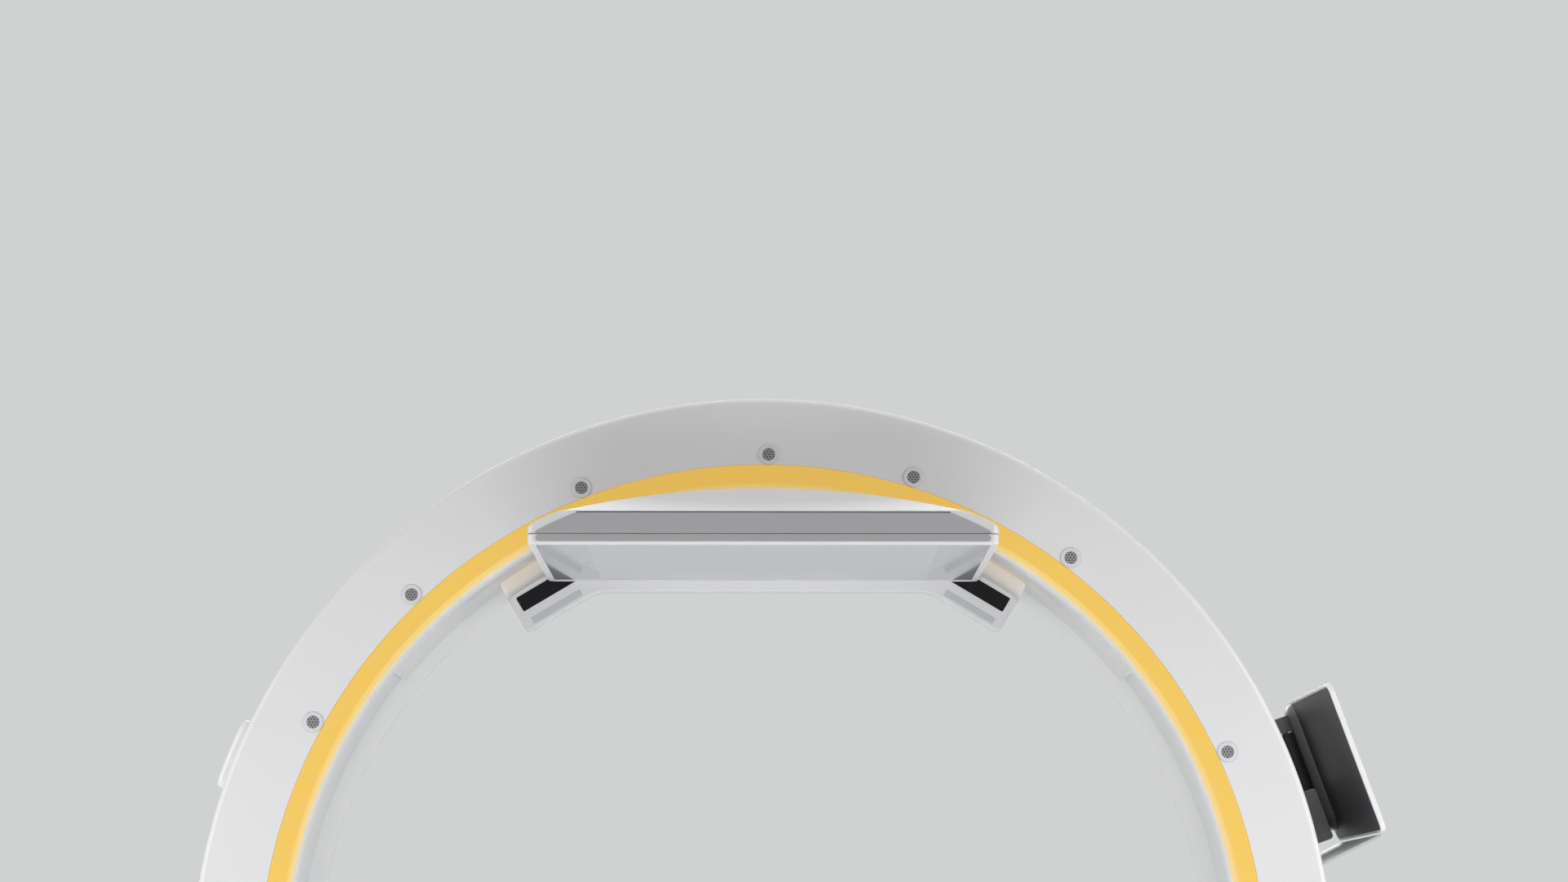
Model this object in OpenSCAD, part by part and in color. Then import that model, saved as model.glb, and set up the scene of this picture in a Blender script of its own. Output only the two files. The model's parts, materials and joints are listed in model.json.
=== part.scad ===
// Mobile ring scanner: a wheeled base with two side columns carries a tilting ring gantry.
// Inside the ring turn a detector and an X-ray source, each on its own rotor.
// Origin on the floor under the middle of the ring. X runs right, Y runs away from the
// front of the ring, Z up. The ring's own places are given as radius, angle (anticlockwise
// from the right, seen from the front) and depth behind the front face.

/* [Ring] */
// Inside diameter of the ring at its front and rear lips
bore_d = 1210; // [1200:2:1216]
// Radial thickness of the ring from lip to rim
ring_section = 121; // [118:1:126]
// Depth of the ring along its axis
ring_depth = 360; // [352:2:372]
// Clearance between the ring and the base's deck
deck_gap = 44; // [44:2:90]
// Rounding of the rim's two outer edges
rim_f = 8; // [6:0.5:10]
// Wall of the ring's covers
cover_t = 4; // [3:0.5:5]
// Width of the coloured band round the bore
band_w = 22; // [18:1:24]
// Thickness of the coloured band
band_t = 3; // [2:0.5:4]
// Rounding of the coloured band into the bore
band_f = 8; // [6:0.5:8]
// Step from the lips out to the channel that the rotors run in
lip_h = 19; // [17:1:20]
// Depth of the front lip
lip_len = 40; // [34:1:44]
// Radius of the concave curve of the rear lip
flare_r = 92; // [80:1:100]
// Radius of the rear lip's rounded edge
bead_r = 8; // [6:0.5:9]

/* [Rotors] */
// Wall of each rotor's inner band
liner_t = 4; // [3:0.5:5]
// Height of a rotor's rib inside its bearing race
rib_h = 18; // [16:1:20]
// Width of a rotor's rib
rib_w = 12; // [10:1:16]
// Running gap at the bearing races and between rotors
run_gap = 0.5; // [0.3:0.1:1]
// Radial thickness of the outer races
race_t = 16; // [12:1:18]
// Width of the outer races
race_w = 22; // [18:1:26]
// Wall of the ring frame
frame_t = 8; // [6:1:10]
// Teeth on each drive stator
stator_teeth = 36; // [24:4:48]

/* [Markers] */
// Distance of the tracking markers from the axis
marker_r = 652.6; // [650:0.2:660]
// Diameter of a marker's disc
marker_d = 16; // [12:0.5:18]
// Outside diameter of a marker's rim
marker_rim_d = 29; // [24:0.5:30]
// Height of a marker's rim above the face
marker_h = 1.2; // [0.8:0.1:2]

/* [Detector] */
// Width of the detector housing
det_w = 570; // [540:5:580]
// How far the detector reaches in front of the ring's face
det_reach = 310; // [280:5:320]
// Depth of the detector housing
det_depth = 447; // [430:1:455]
// Height of the detector housing from its underside to the top of its roof
det_h = 89; // [80:1:95]
// Height of the detector's upright front face
det_face_h = 39; // [34:1:44]
// Height of the lower frame, from the underside to the seam
det_frame_h = 13; // [10:1:16]
// Depth of the sloping part of the roof
det_slope = 178; // [150:2:200]
// Rounding of the detector's upright corners
det_corner = 10; // [8:1:14]
// Wall of the detector's shell
det_wall = 4; // [3:0.5:5]
// Clearance between the detector's roof and the lips of the bore
det_clear = 15; // [12:1:20]
// Width of the rails at the sides of the detector's window
det_rail = 10; // [8:1:14]

/* [Carriages] */
// Depth of the detector's carriage behind the detector
carriage_depth = 153; // [120:1:154]
// Drop of the carriage's bar below the detector's underside
bar_drop = 13; // [8:1:18]
// Angle of the carriage's two wings either side of the top
wing_a = 30.8; // [30:0.1:32]
// Distance of a wing's inner face from the axis
wing_r = 532; // [525:1:545]
// Reach of a wing past its own centre line, outwards
wing_out = 46; // [40:1:50]
// Reach of a wing past its own centre line, inwards
wing_in = 56; // [50:1:60]
// Rounding of a wing's corners
wing_f = 9; // [6:1:12]
// Thickness of the carriage's face plate
face_t = 28; // [20:1:34]
// How far the carriage's body is set in behind the face plate
set_in = 14; // [8:1:20]
// Length of the slope from the detector's roof up to the ring
shoulder_l = 93; // [70:1:100]
// Length of a scanner window
lens_w = 82; // [70:1:86]
// Height of a scanner window
lens_h = 21; // [16:1:24]
// Height of a status strip
strip_h = 9; // [6:1:10]

/* [Source] */
// Width of the source housing
src_w = 360; // [330:5:370]
// How far the source reaches in front of the ring's face
src_reach = 290; // [270:5:300]
// Distance of the source's window from the axis
src_top = 300; // [290:5:320]
// Wall of the source's housing
src_wall = 5; // [4:0.5:6]
// Outside diameter of the tube housing
tube_d = 170; // [150:5:180]
// Outside diameter of the tube's glass
glass_d = 110; // [100:2:120]
// Diameter of the anode
anode_d = 84; // [70:2:88]
// Half the width that the jaws leave open at rest
jaw_open = 4; // [2:0.5:8]
// Travel of each jaw
jaw_travel = 34; // [28:1:34]

/* [Tablet] */
// Angle of the tablet on the rim
tablet_a = 19.7; // [17:0.1:24]
// Depth of the tablet along the ring
tablet_w = 365; // [340:1:370]
// Length of the tablet along the rim
tablet_l = 201; // [180:1:210]
// Thickness of the tablet
tablet_t = 8; // [7:0.5:10]
// Distance of the tablet's back from the axis
tablet_n = 800; // [796:1:806]
// Reach of the tablet's lower edge below its angle
tablet_low = 110; // [100:1:114]
// Radius of the hinge barrel
barrel_r = 11; // [9:0.5:12]
// Radius of the hinge pin
pin_r = 4; // [3:0.5:5]
// Distance of the hinge pin from the tablet's back
hinge_drop = 21; // [20:0.5:24]
// Distance of the hinge pin from the tablet's far edge
hinge_in = 35; // [30:1:40]
// Half the width of the ridge along the tablet's far edge
ridge_w = 24; // [20:1:26]
// Rounding of the tablet's corners
tablet_f = 10; // [8:1:14]

/* [Side module] */
// Angle of the side module on the rim
module_a = 158.6; // [150:0.2:162]
// Height of the side module above the rim
module_h = 20; // [14:1:24]
// Length of the side module along the rim
module_l = 92; // [80:1:100]
// Depth of the side module along the ring
module_w = 200; // [150:5:220]
// Rounding of the side module's corners
module_f = 14; // [10:1:20]

/* [Columns] */
// Gap between the rim and the columns
column_gap = 19; // [16:1:24]
// Thickness of a column along X
column_t = 93; // [90:1:100]
// Radius of a column's round head
head_r = 100; // [95:1:105]
// Slope of a column's sides
column_a = 10; // [8:0.5:12]
// Rounding of a column's edges
column_f = 12; // [8:1:16]
// Radius of the trunnion shafts
shaft_r = 30; // [25:1:34]
// Radius of the trunnion flanges
flange_r = 70; // [64:1:76]
// Radius over a trunnion bearing
bearing_r = 48; // [44:1:52]
// Radius over the housing of a trunnion bearing
hub_r = 62; // [58:1:66]

/* [Base] */
// Height of the plinths that the columns stand on
plinth_h = 3; // [2.5:0.5:5]
// How far the base reaches past the columns at each side
base_out = 12; // [8:1:30]
// Depth of the base
base_d = 1000; // [990:5:1040]
// Height of the base's deck
deck_h = 160; // [158:1:162]
// Height of the skirt's lower edge above the floor
skirt_z = 46; // [40:1:52]
// Rounding of the base in plan
base_r = 90; // [70:5:110]
// Rounding of the deck's edge
deck_f = 16; // [12:1:20]
// Thickness of the rubber bumper
bumper_t = 6; // [4:1:8]
// Height of the rubber bumper
bumper_h = 40; // [30:2:46]
// Height of the chassis beams
beam_h = 40; // [36:1:44]
// Width of the chassis beams
beam_w = 60; // [50:2:70]

/* [Castors] */
// Diameter of the castor wheels
wheel_d = 100; // [90:2:100]
// Width of one castor wheel
wheel_w = 24; // [20:1:26]
// Trail of the castor wheels behind their swivel
trail = 30; // [26:1:34]
// Distance of the castors' swivels from the base's sides
castor_in = 150; // [140:5:170]
// Distance of the castors' swivels from the base's front and rear
castor_end = 110; // [105:5:130]
// Radius of the castor axles
axle_r = 6; // [5:0.5:7]

/* [Emergency stops] */
// Height of the emergency stops above the floor
stop_z = 640; // [560:5:700]
// Diameter of an emergency stop button
stop_d = 38; // [32:1:42]
// Travel of an emergency stop button
stop_travel = 5; // [4:0.5:6]

/* [Hidden] */
$fn = 64;
ring_fn = 180;
far = 3000;
eps = 0.01;

// Round the ring: radii from the axis, depths behind the front face
bore_r = bore_d / 2;
ring_r = bore_r + ring_section;
axis_h = deck_h + deck_gap + ring_r;
channel_r = bore_r + lip_h;
liner_r = channel_r + liner_t;
race_in = liner_r + rib_h;
rib_r = race_in - run_gap;
race_out = race_in + race_t;
frame_in = race_out + frame_t;
frame_out = ring_r - cover_t - 10;
band_in = bore_r + 12;
band_out = band_in + band_w;
flare_c = channel_r - flare_r;
flare_d0 = ring_depth - bead_r
    - sqrt(pow(flare_r + bead_r, 2) - pow(flare_r + bead_r - lip_h, 2));
mid_d = ring_depth / 2;
lip_end = lip_len + 15;
source_d0 = lip_end + 2;
rotor_split = (source_d0 + flare_d0) / 2;
source_d1 = rotor_split - 1;
detector_d0 = rotor_split + 1;
detector_d1 = flare_d0 - 1;
source_rib = (source_d0 + source_d1) / 2;
detector_rib = (detector_d0 + detector_d1) / 2;
flange_d0 = 58;
flange_d1 = flare_d0 - 1;
magnet_off = 32;
magnet_w = 12;
SPOKES = [for (i = [0:11]) 15 + 30 * i];
MARKERS = [24.3, 52.6, 72.7, 89.4, 111.1, 133.9, 152, 206, 229, 251, 283, 305, 331];

// Detector, with depths from the ring's front face and heights above the axis
det_r = bore_r - det_clear;
det_z0 = det_r - det_h;
det_z1 = det_z0 + det_face_h;
det_seam = det_z0 + det_frame_h;
det_d0 = -det_reach;
det_d1 = det_depth - det_reach;
roof_a = atan((det_r - det_z1) / det_slope);
carriage_d1 = det_d1 + carriage_depth;
carriage_r = channel_r - 3;
shoulder_r = det_r - det_wall;
bar_z = det_z0 - bar_drop;
active_x = 215;
lens_n = 558;
strip_n = 537;
fit = 0.3;

// Source
src_d0 = -src_reach;
src_back = 57;
src_arc = 33;
tube_z = -(src_top + 140);
tube_d0 = -250;
tube_d1 = 20;
port_d = (tube_d0 + tube_d1) / 2;
port_w = 80;
port_top = tube_z + tube_d / 2 + 2;
jaw_z = port_top + 8;
jaw_l = 46;
jaw_t = 12;
jaw_half = 36;
pocket_x = jaw_open + jaw_l + jaw_travel + 1;
colli_top = -src_top - src_wall - 1;

// Tablet, with n outwards from the axis and t along the rim
tab_out = tablet_n + tablet_t;
tab_t0 = -tablet_low;
tab_t1 = tablet_l - tablet_low;
hinge_n = tablet_n - hinge_drop;
hinge_d = tablet_w - hinge_in;
ridge_n = hinge_n + barrel_r + 1;
barrel_t0 = tab_t0 + 40;
barrel_t1 = tab_t1 - 39;

// Base and columns
column_x0 = ring_r + column_gap;
column_x1 = column_x0 + column_t;
upright_x0 = column_x0 + 7;
upright_x1 = upright_x0 + 60;
plate_t = 10;
beam_top = deck_h - cover_t;
beam_z = beam_top - beam_h;
base_w = 2 * (column_x1 + base_out);
castor_x = base_w / 2 - castor_in;
castor_y = base_d / 2 - castor_end;
wheel_r = wheel_d / 2;
crown_z = wheel_d + 2;
crown_t = 6;
crown_gap = 0.3;
plate_z = crown_z + crown_t + crown_gap;
cross_y = 250;
tray_wall = 4;
tray_z = skirt_z + 10;
tray_x = upright_x0 - 279;
tray_gap = 20;
tray_y = cross_y - beam_w / 2 - 30;
inlet_w = 66;
inlet_h = 40;
inlet_z = (skirt_z + bumper_h + deck_h - deck_f) / 2;
stop_l = (axis_h - stop_z) / cos(column_a);

// Places children in the ring's own space: X right, Y depth behind the front face, Z up
module on_ring() { translate([0, -ring_depth / 2, axis_h]) children(); }

// Turns a profile of radius and depth about the ring's axis
module turned() { rotate([-90, 0, 0]) rotate_extrude($fn = ring_fn) children(); }

// The same over the angles a0 to a1
module sector(a0, a1) {
    rotate([-90, 0, 0]) rotate([0, 0, -a1]) rotate_extrude(angle = a1 - a0, $fn = ring_fn) children();
}

// Local X outwards at angle a, local Z along the rim
module at_angle(a) { rotate([0, -a, 0]) children(); }

// A rectangle from corner to corner in radius and depth
module band(r0, r1, d0, d1) { translate([r0, d0]) square([r1 - r0, d1 - d0]); }

// A block from one corner to the other
module block(a, b) { translate(a) cube(b - a); }

// A rectangle with rounded corners, from corner a to corner b
module round_rect(a, b, r) {
    translate([a[0] + r, a[1]]) square([b[0] - a[0] - 2 * r, b[1] - a[1]]);
    translate([a[0], a[1] + r]) square([b[0] - a[0], b[1] - a[1] - 2 * r]);
    for (x = [a[0] + r, b[0] - r], y = [a[1] + r, b[1] - r]) translate([x, y]) circle(r);
}

// Extrudes a shape drawn in x and depth upwards from z0 to z1
module raise(z0, z1) { translate([0, 0, z0]) linear_extrude(z1 - z0) children(); }

// Extrudes a shape drawn in x and z along the depth from d0 to d1
module run(d0, d1) { translate([0, d1, 0]) rotate([90, 0, 0]) linear_extrude(d1 - d0) children(); }

// A cylinder along the depth
module rod(r, d0, d1) { translate([0, d0, 0]) rotate([-90, 0, 0]) cylinder(r = r, h = d1 - d0); }

// A cylinder along X from x0 to x1
module axle(r, x0, x1) { translate([x0, 0, 0]) rotate([0, 90, 0]) cylinder(r = r, h = x1 - x0); }

// Left and right copies
module both_sides() { children(); mirror([1, 0, 0]) children(); }

// Ring covers

// The region inside the rim from radius r0 out, with its walls moved in by t
module rim_section(r0, t) {
    band(r0, ring_r - rim_f, t, mid_d - 1);
    band(r0, ring_r - t, rim_f, mid_d - 1);
    translate([ring_r - rim_f, rim_f]) circle(rim_f - t);
}

module rim_shell(r0) {
    difference() { rim_section(r0, 0); rim_section(r0, cover_t); }
}

// The concave lip, which ends in a rounded bead
module flare() {
    end_a = acos((flare_r + bead_r - lip_h) / (flare_r + bead_r)) - 0.2;
    translate([flare_c, flare_d0]) intersection() {
        difference() { circle(flare_r + cover_t, $fn = ring_fn); circle(flare_r, $fn = ring_fn); }
        polygon([[0, 0], [2 * flare_r, 0], 2 * flare_r * [cos(end_a), sin(end_a)]]);
    }
    translate([bore_r + bead_r, ring_depth - bead_r]) circle(bead_r);
}

module trunnion_holes() {
    translate([0, mid_d, 0]) both_sides() axle(flange_r + 3, ring_r - 60, ring_r + 10);
}

module front_cover() {
    color("white") on_ring() difference() {
        turned() {
            rim_shell(band_out);
            band(band_out, band_out + cover_t, 0, band_t + cover_t);
            band(band_in + 3, band_out + cover_t, band_t, band_t + cover_t);
        }
        trunnion_holes();
    }
}

module rear_cover() {
    color("white") on_ring() difference() {
        turned() {
            translate([0, ring_depth]) mirror([0, 1]) rim_shell(bore_r + bead_r);
            flare();
        }
        trunnion_holes();
    }
}

// The roll between the band's flat and the lip, from radius r about its middle
function band_roll(r, back) = [for (i = [0:6]) let (a = 15 * (back ? i : 6 - i))
    [band_in - r * cos(a), band_f - r * sin(a)]];

module accent_band() {
    inner_f = band_f - band_t;
    color([0.93, 0.68, 0.2]) on_ring() turned() polygon(concat(
        [[band_out, band_t], [band_out, 0]], band_roll(band_f, false),
        [[band_in - band_f, band_f + 1], [band_in - inner_f, band_f + 1]],
        band_roll(inner_f, true)));
}

module front_lip() {
    lip_t = 4;
    nose_d = band_f + 1;
    heel_r = channel_r - 4;
    color("white") on_ring() turned() {
        band(bore_r, bore_r + lip_t, nose_d + lip_t, lip_len);
        translate([bore_r + lip_t, nose_d + lip_t]) intersection() {
            circle(lip_t);
            translate([-lip_t, -lip_t]) square(lip_t);
        }
        band(bore_r + lip_t, band_in, nose_d, nose_d + lip_t);
        band(band_in, band_out + 1, band_t + cover_t, nose_d + lip_t);
        polygon([[bore_r, lip_len], [bore_r + lip_t, lip_len], [heel_r + lip_t, lip_end], [heel_r, lip_end]]);
    }
}

// Ring structure

module ring_frame() {
    boss_r = (frame_in + frame_out) / 2;
    hole_a = 30;
    color("silver") on_ring() difference() {
        union() {
            turned() {
                band(race_out, frame_in, flange_d0, flange_d1);
                band(race_out, frame_out, flange_d0, flange_d0 + frame_t);
                band(race_out, frame_out, flange_d1 - frame_t, flange_d1);
            }
            for (a = SPOKES) at_angle(a) translate([boss_r, 0, 0]) {
                rod(7, cover_t, flange_d0 + eps);
                rod(7, flange_d1 - eps, ring_depth - cover_t);
            }
            translate([0, mid_d, 0]) both_sides()
                block([frame_in - 2, -flange_r, -flange_r], [frame_out + 4, flange_r, flange_r]);
        }
        for (a = [0:hole_a:330]) if (a % 180 != 0)
            at_angle(a) translate([boss_r, 0, 0]) rod(12, flange_d0 - 1, flange_d1 + 1);
    }
}

module outer_races() {
    color("dimgray") on_ring() turned() for (d = [source_rib, detector_rib])
        band(race_in, race_out, d - race_w / 2, d + race_w / 2);
}

module stator(d) {
    back = 6;
    turned() band(race_out - back, race_out, d - magnet_w / 2, d + magnet_w / 2);
    for (i = [0:stator_teeth - 1]) at_angle(i * 360 / stator_teeth)
        block([liner_r + 14, d - magnet_w / 2, -14], [race_out - back + 1, d + magnet_w / 2, 14]);
}

module drive_stators() {
    color("peru") on_ring() {
        stator(source_rib - magnet_off);
        stator(detector_rib + magnet_off);
    }
}

module marker_rims() {
    color("whitesmoke") on_ring() for (a = MARKERS) at_angle(a) translate([marker_r, 0, 0])
        difference() {
            rod(marker_rim_d / 2, -marker_h, 0);
            rod(marker_d / 2, -marker_h - 1, -marker_h / 3);
        }
}

module marker_discs() {
    color("gray") on_ring() for (a = MARKERS) at_angle(a) translate([marker_r, 0, 0])
        rod(marker_d / 2, -marker_h * 0.9, -marker_h / 3);
}

module gantry_electronics() {
    lid = 3;
    color("darkslategray") on_ring() for (a = [0:30:330]) sector(a - 10, a + 10) {
        band(race_out, frame_out, flange_d1, ring_depth - cover_t - 14);
        band(race_out + lid, frame_out - lid, ring_depth - cover_t - 14, ring_depth - cover_t - 11);
    }
}

module service_cable() {
    pitch = 4;
    color("darkorange") on_ring() turned() for (i = [0:3])
        band(race_out + i * pitch, race_out + i * pitch + 2, flange_d0 - 30, flange_d0);
}

module trunnions() {
    color("silver") translate([0, 0, axis_h]) both_sides() {
        axle(flange_r, frame_out + 4, ring_r + 10);
        axle(shaft_r, ring_r + 10 - eps, upright_x1 - 4);
    }
}

// Rim fittings

module side_module() {
    d0 = (ring_depth - module_w) / 2 - 10;
    sunk = 20;
    color("white") on_ring() difference() {
        intersection() {
            at_angle(module_a) translate([ring_r - sunk, 0, 0]) rotate([90, 0, 90])
                linear_extrude(2 * sunk + module_h)
                round_rect([d0, -module_l / 2], [d0 + module_w, module_l / 2], module_f);
            turned() band(ring_r - sunk - 10, ring_r + module_h, 0, ring_depth);
        }
        turned() band(0, ring_r, -1, ring_depth + 1);
    }
}

// Cuts away what lies inside the rim
module off_rim() {
    difference() {
        children();
        turned() band(0, ring_r, -1, ring_depth + 60);
    }
}

module tablet_bracket() {
    knuckle = 22;
    leg = 20;
    pad_d0 = hinge_d - 34;
    pad_d1 = hinge_d + 20;
    color("dimgray") on_ring() difference() {
        off_rim() at_angle(tablet_a) {
            block([ring_r - 30, pad_d0, tab_t0 + 8], [ring_r + 6, pad_d1, tab_t1 - 12]);
            for (t = [barrel_t0 - 1 - knuckle, barrel_t1 + 1]) {
                block([ring_r - 10, hinge_d - leg / 2, t], [hinge_n, hinge_d + leg / 2, t + knuckle]);
                translate([hinge_n, hinge_d, t]) cylinder(r = barrel_r, h = knuckle);
            }
            translate([hinge_n, hinge_d, barrel_t0 - 2]) cylinder(r = pin_r, h = barrel_t1 - barrel_t0 + 4);
        }
        turned() band(0, ring_r + 60, ring_depth - rim_f, ring_depth + 60);
    }
}

module tablet_ledge() {
    color("lightgray") on_ring() off_rim() at_angle(tablet_a)
        translate([0, 4, 0]) rotate([-90, 0, 0]) linear_extrude(346) polygon([
            [ring_r - 30, tablet_low + 13], [tablet_n - 1, tablet_low + 2],
            [tablet_n - 1, tablet_low + 5], [ring_r - 30, tablet_low + 16]]);
}

// Tablet

module tablet_plate(inset, n0, n1) {
    at_angle(tablet_a) translate([n0, 0, 0]) rotate([90, 0, 90]) linear_extrude(n1 - n0)
        round_rect([inset, tab_t0 + inset], [tablet_w - inset, tab_t1 - inset], tablet_f - inset / 2);
}

// The rounded ridge along the tablet's far edge, which backs the hinge
module tablet_ridge() {
    r = tablet_n - ridge_n;
    t0 = tab_t0 + 14;
    t1 = tab_t1 - 6;
    at_angle(tablet_a) translate([tablet_n, hinge_d + 8, t0]) linear_extrude(t1 - t0) intersection() {
        union() {
            for (y = [-ridge_w + r, ridge_w - r]) translate([0, y]) circle(r);
            translate([-r, -ridge_w + r]) square([r + 1, 2 * (ridge_w - r)]);
        }
        translate([-far, -far / 2]) square([far + 1, far]);
    }
}

module tablet_back() {
    rim = 3;
    color("#2c2c30") on_ring() {
        tablet_plate(rim, tablet_n, tablet_n + 4);
        tablet_ridge();
        at_angle(tablet_a) difference() {
            union() {
                translate([hinge_n, hinge_d, barrel_t0]) cylinder(r = barrel_r, h = barrel_t1 - barrel_t0);
                block([hinge_n, hinge_d - 9, barrel_t0], [tablet_n + 1, hinge_d + 9, barrel_t1]);
            }
            translate([hinge_n, hinge_d, barrel_t0 - 1]) cylinder(r = pin_r + 0.05, h = tablet_l);
        }
    }
}

module tablet_bezel() {
    rim = 3;
    border = 12;
    color("white") on_ring() difference() {
        tablet_plate(0, tablet_n + 1, tab_out);
        tablet_plate(rim, tablet_n, tab_out - 2);
        tablet_plate(border, tablet_n, tab_out + 1);
    }
}

module tablet_screen() {
    color("#15161a") on_ring() {
        tablet_plate(3, tablet_n + 4, tab_out - 2);
        tablet_plate(12, tablet_n + 4, tab_out - 0.4);
    }
}

// Rotors

module rotor_ring(d0, d1, rib, magnet) {
    color("gainsboro") on_ring() turned() {
        band(channel_r, liner_r, d0, d1);
        band(channel_r, rib_r, rib - rib_w / 2, rib + rib_w / 2);
        band(channel_r, liner_r + 13, magnet - magnet_w / 2, magnet + magnet_w / 2);
    }
}

module source_rotor_ring() { rotor_ring(source_d0, source_d1, source_rib, source_rib - magnet_off); }

module detector_rotor_ring() {
    rotor_ring(detector_d0, detector_d1, detector_rib, detector_rib + magnet_off);
}

// Detector

module detector_envelope(t) {
    x = det_w / 2 - t;
    back = det_d1 + (t > 0 ? 1 : 0);
    slope_t = t / cos(roof_a);
    intersection() {
        raise(det_z0 - 1, det_r + 1) {
            round_rect([-x, det_d0 + t], [x, det_d1 - 50], det_corner - min(t, det_corner - 1));
            translate([-x, det_d0 + 60]) square([2 * x, back - det_d0 - 60]);
        }
        turned() band(0, det_r - t, det_d0 - 1, det_d1 + 2);
        translate([-x - 1, 0, 0]) rotate([90, 0, 90]) linear_extrude(2 * x + 2) polygon([
            [det_d0, det_z0], [det_d1 + 2, det_z0], [det_d1 + 2, det_r + 1 - slope_t],
            [det_d0 + det_slope + det_slope / (det_r - det_z1), det_r + 1 - slope_t],
            [det_d0, det_z1 - slope_t]]);
    }
}

// The part of the shell's front that the front panel takes
module detector_face() {
    x = det_w / 2 - det_corner;
    intersection() {
        detector_envelope(0);
        block([-x, det_d0 - 1, det_seam + 0.5], [x, det_d0 + det_wall, det_z1 - 1.5]);
    }
}

module detector_roof() {
    color("white") on_ring() difference() {
        detector_envelope(0);
        detector_envelope(det_wall);
        block([-det_w, det_d0 - 1, det_z0 - 1], [det_w, det_d1 + 3, det_seam]);
        detector_face();
    }
}

module detector_front_panel() {
    x = det_w / 2 - det_corner;
    color("darkgray") on_ring() {
        detector_face();
        block([-x, det_d0, det_z0 + 4], [x, det_d0 + 3, det_seam - 0.5]);
    }
}

module detector_lower_frame() {
    x = det_w / 2;
    color("white") on_ring() difference() {
        intersection() {
            detector_envelope(0);
            block([-det_w, det_d0 - 1, det_z0], [det_w, det_d1, det_seam]);
        }
        block([-x + det_rail, det_d0 + det_rail, det_z0 - 1],
            [x - det_rail, det_d1 - det_rail, det_z0 + 4]);
        block([-active_x, det_d0 + det_rail + 20, det_z0 - 1],
            [active_x, det_d1 - det_rail - 20, det_seam + 1]);
        block([-x + det_corner, det_d0 - 1, det_z0 + 4],
            [x - det_corner, det_d0 + 3, det_seam + 1]);
    }
}

module detector_window() {
    x = det_w / 2 - det_rail;
    color("lightsteelblue") on_ring()
        block([-x, det_d0 + det_rail, det_z0 + 0.5], [x, det_d1 - det_rail, det_z0 + 4]);
}

module detector_sensor() {
    x = active_x + 20;
    color("slategray") on_ring() {
        block([-x, det_d0 + 20, det_seam], [x, det_d1 - 20, det_z1 - 10]);
        for (i = [-4:4]) block([i * 48 - 2, det_d0 + 60, det_z1 - 11], [i * 48 + 2, det_d1 - 40, det_z1]);
    }
}

// Both carriages are drawn for the top of the ring

module wing(r0, r1) {
    rotate(wing_a + 90) round_rect([r0, -wing_in], [r1, wing_out], wing_f);
}

// The outline of the bar and its two wings, with the underside moved up by lift
module detector_arc(lift) {
    bar_x = wing_in * 4;
    intersection() {
        circle(carriage_r, $fn = ring_fn);
        union() {
            both_sides() wing(wing_r + lift, carriage_r + 30);
            polygon([[-bar_x, bar_z + lift], [bar_x, bar_z + lift],
                [bar_x * 1.43, carriage_r + 40], [-bar_x * 1.43, carriage_r + 40]]);
        }
    }
}

// What the slope from the detector's roof up to the ring takes off the carriage
module shoulder_cut() {
    outside = carriage_r + 60;
    turned() polygon([[shoulder_r, det_d1 - 1], [shoulder_r, det_d1],
        [carriage_r, det_d1 + shoulder_l], [outside, det_d1 + shoulder_l], [outside, det_d1 - 1]]);
}

module wing_plate(n, h, w, d0, d1) {
    both_sides() run(d0, d1) rotate(wing_a + 90) translate([n, (wing_out - wing_in - w) / 2]) square([h, w]);
}

module scanner_windows() {
    color("#101014") on_ring() wing_plate(lens_n, lens_h, lens_w, det_d1 + 0.3, det_d1 + 4);
}

module status_strips() {
    color("lightslategray") on_ring() wing_plate(strip_n, strip_h, lens_w - 7, det_d1 + 0.3, det_d1 + 3);
}

module detector_carriage() {
    pad_a = 90 - wing_a - 3;
    color("white") on_ring() {
        difference() {
            union() {
                run(det_d1, det_d1 + face_t) detector_arc(0);
                run(det_d1 + face_t - eps, carriage_d1) detector_arc(set_in);
            }
            shoulder_cut();
            wing_plate(lens_n, lens_h, lens_w, det_d1 - 1, det_d1 + 4);
            wing_plate(strip_n, strip_h, lens_w - 7, det_d1 - 1, det_d1 + 3);
        }
        sector(pad_a, 180 - pad_a) band(carriage_r - 4, channel_r, detector_d0 + 1, carriage_d1 - 2);
    }
}

// Source, at the bottom of the ring

module source_outline(t) {
    x = src_w / 2 - t;
    intersection() {
        circle(det_r - t, $fn = ring_fn);
        round_rect([-x, -det_r - 30], [x, -src_top - t], 24);
    }
}

module source_shell() {
    color("white") on_ring() difference() {
        run(src_d0, src_back) source_outline(0);
        run(src_d0 + src_wall, src_back + 1) source_outline(src_wall);
        block([-src_w / 2 + 40, src_d0 + 40, -src_top - src_wall - 1], [src_w / 2 - 40, 0, -src_top + 1]);
    }
}

module source_window() {
    color("lightsteelblue") on_ring()
        block([-src_w / 2 + 40, src_d0 + 40, -src_top - src_wall], [src_w / 2 - 40, 0, -src_top - 0.5]);
}

module source_carriage() {
    color("gainsboro") on_ring() {
        run(src_back, source_d1 - 4) intersection() {
            circle(carriage_r, $fn = ring_fn);
            union() {
                round_rect([-src_w / 2 - 4, -carriage_r - 30], [src_w / 2 + 4, -src_top + 4], 24);
                polygon([[0, -carriage_r * 0.62],
                    [far * sin(src_arc), -far * cos(src_arc)], [-far * sin(src_arc), -far * cos(src_arc)]]);
            }
        }
        sector(270 - src_arc + 1, 270 + src_arc - 1)
            band(carriage_r - 4, channel_r, source_d0 + 2, source_d1 - 2);
    }
}

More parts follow.
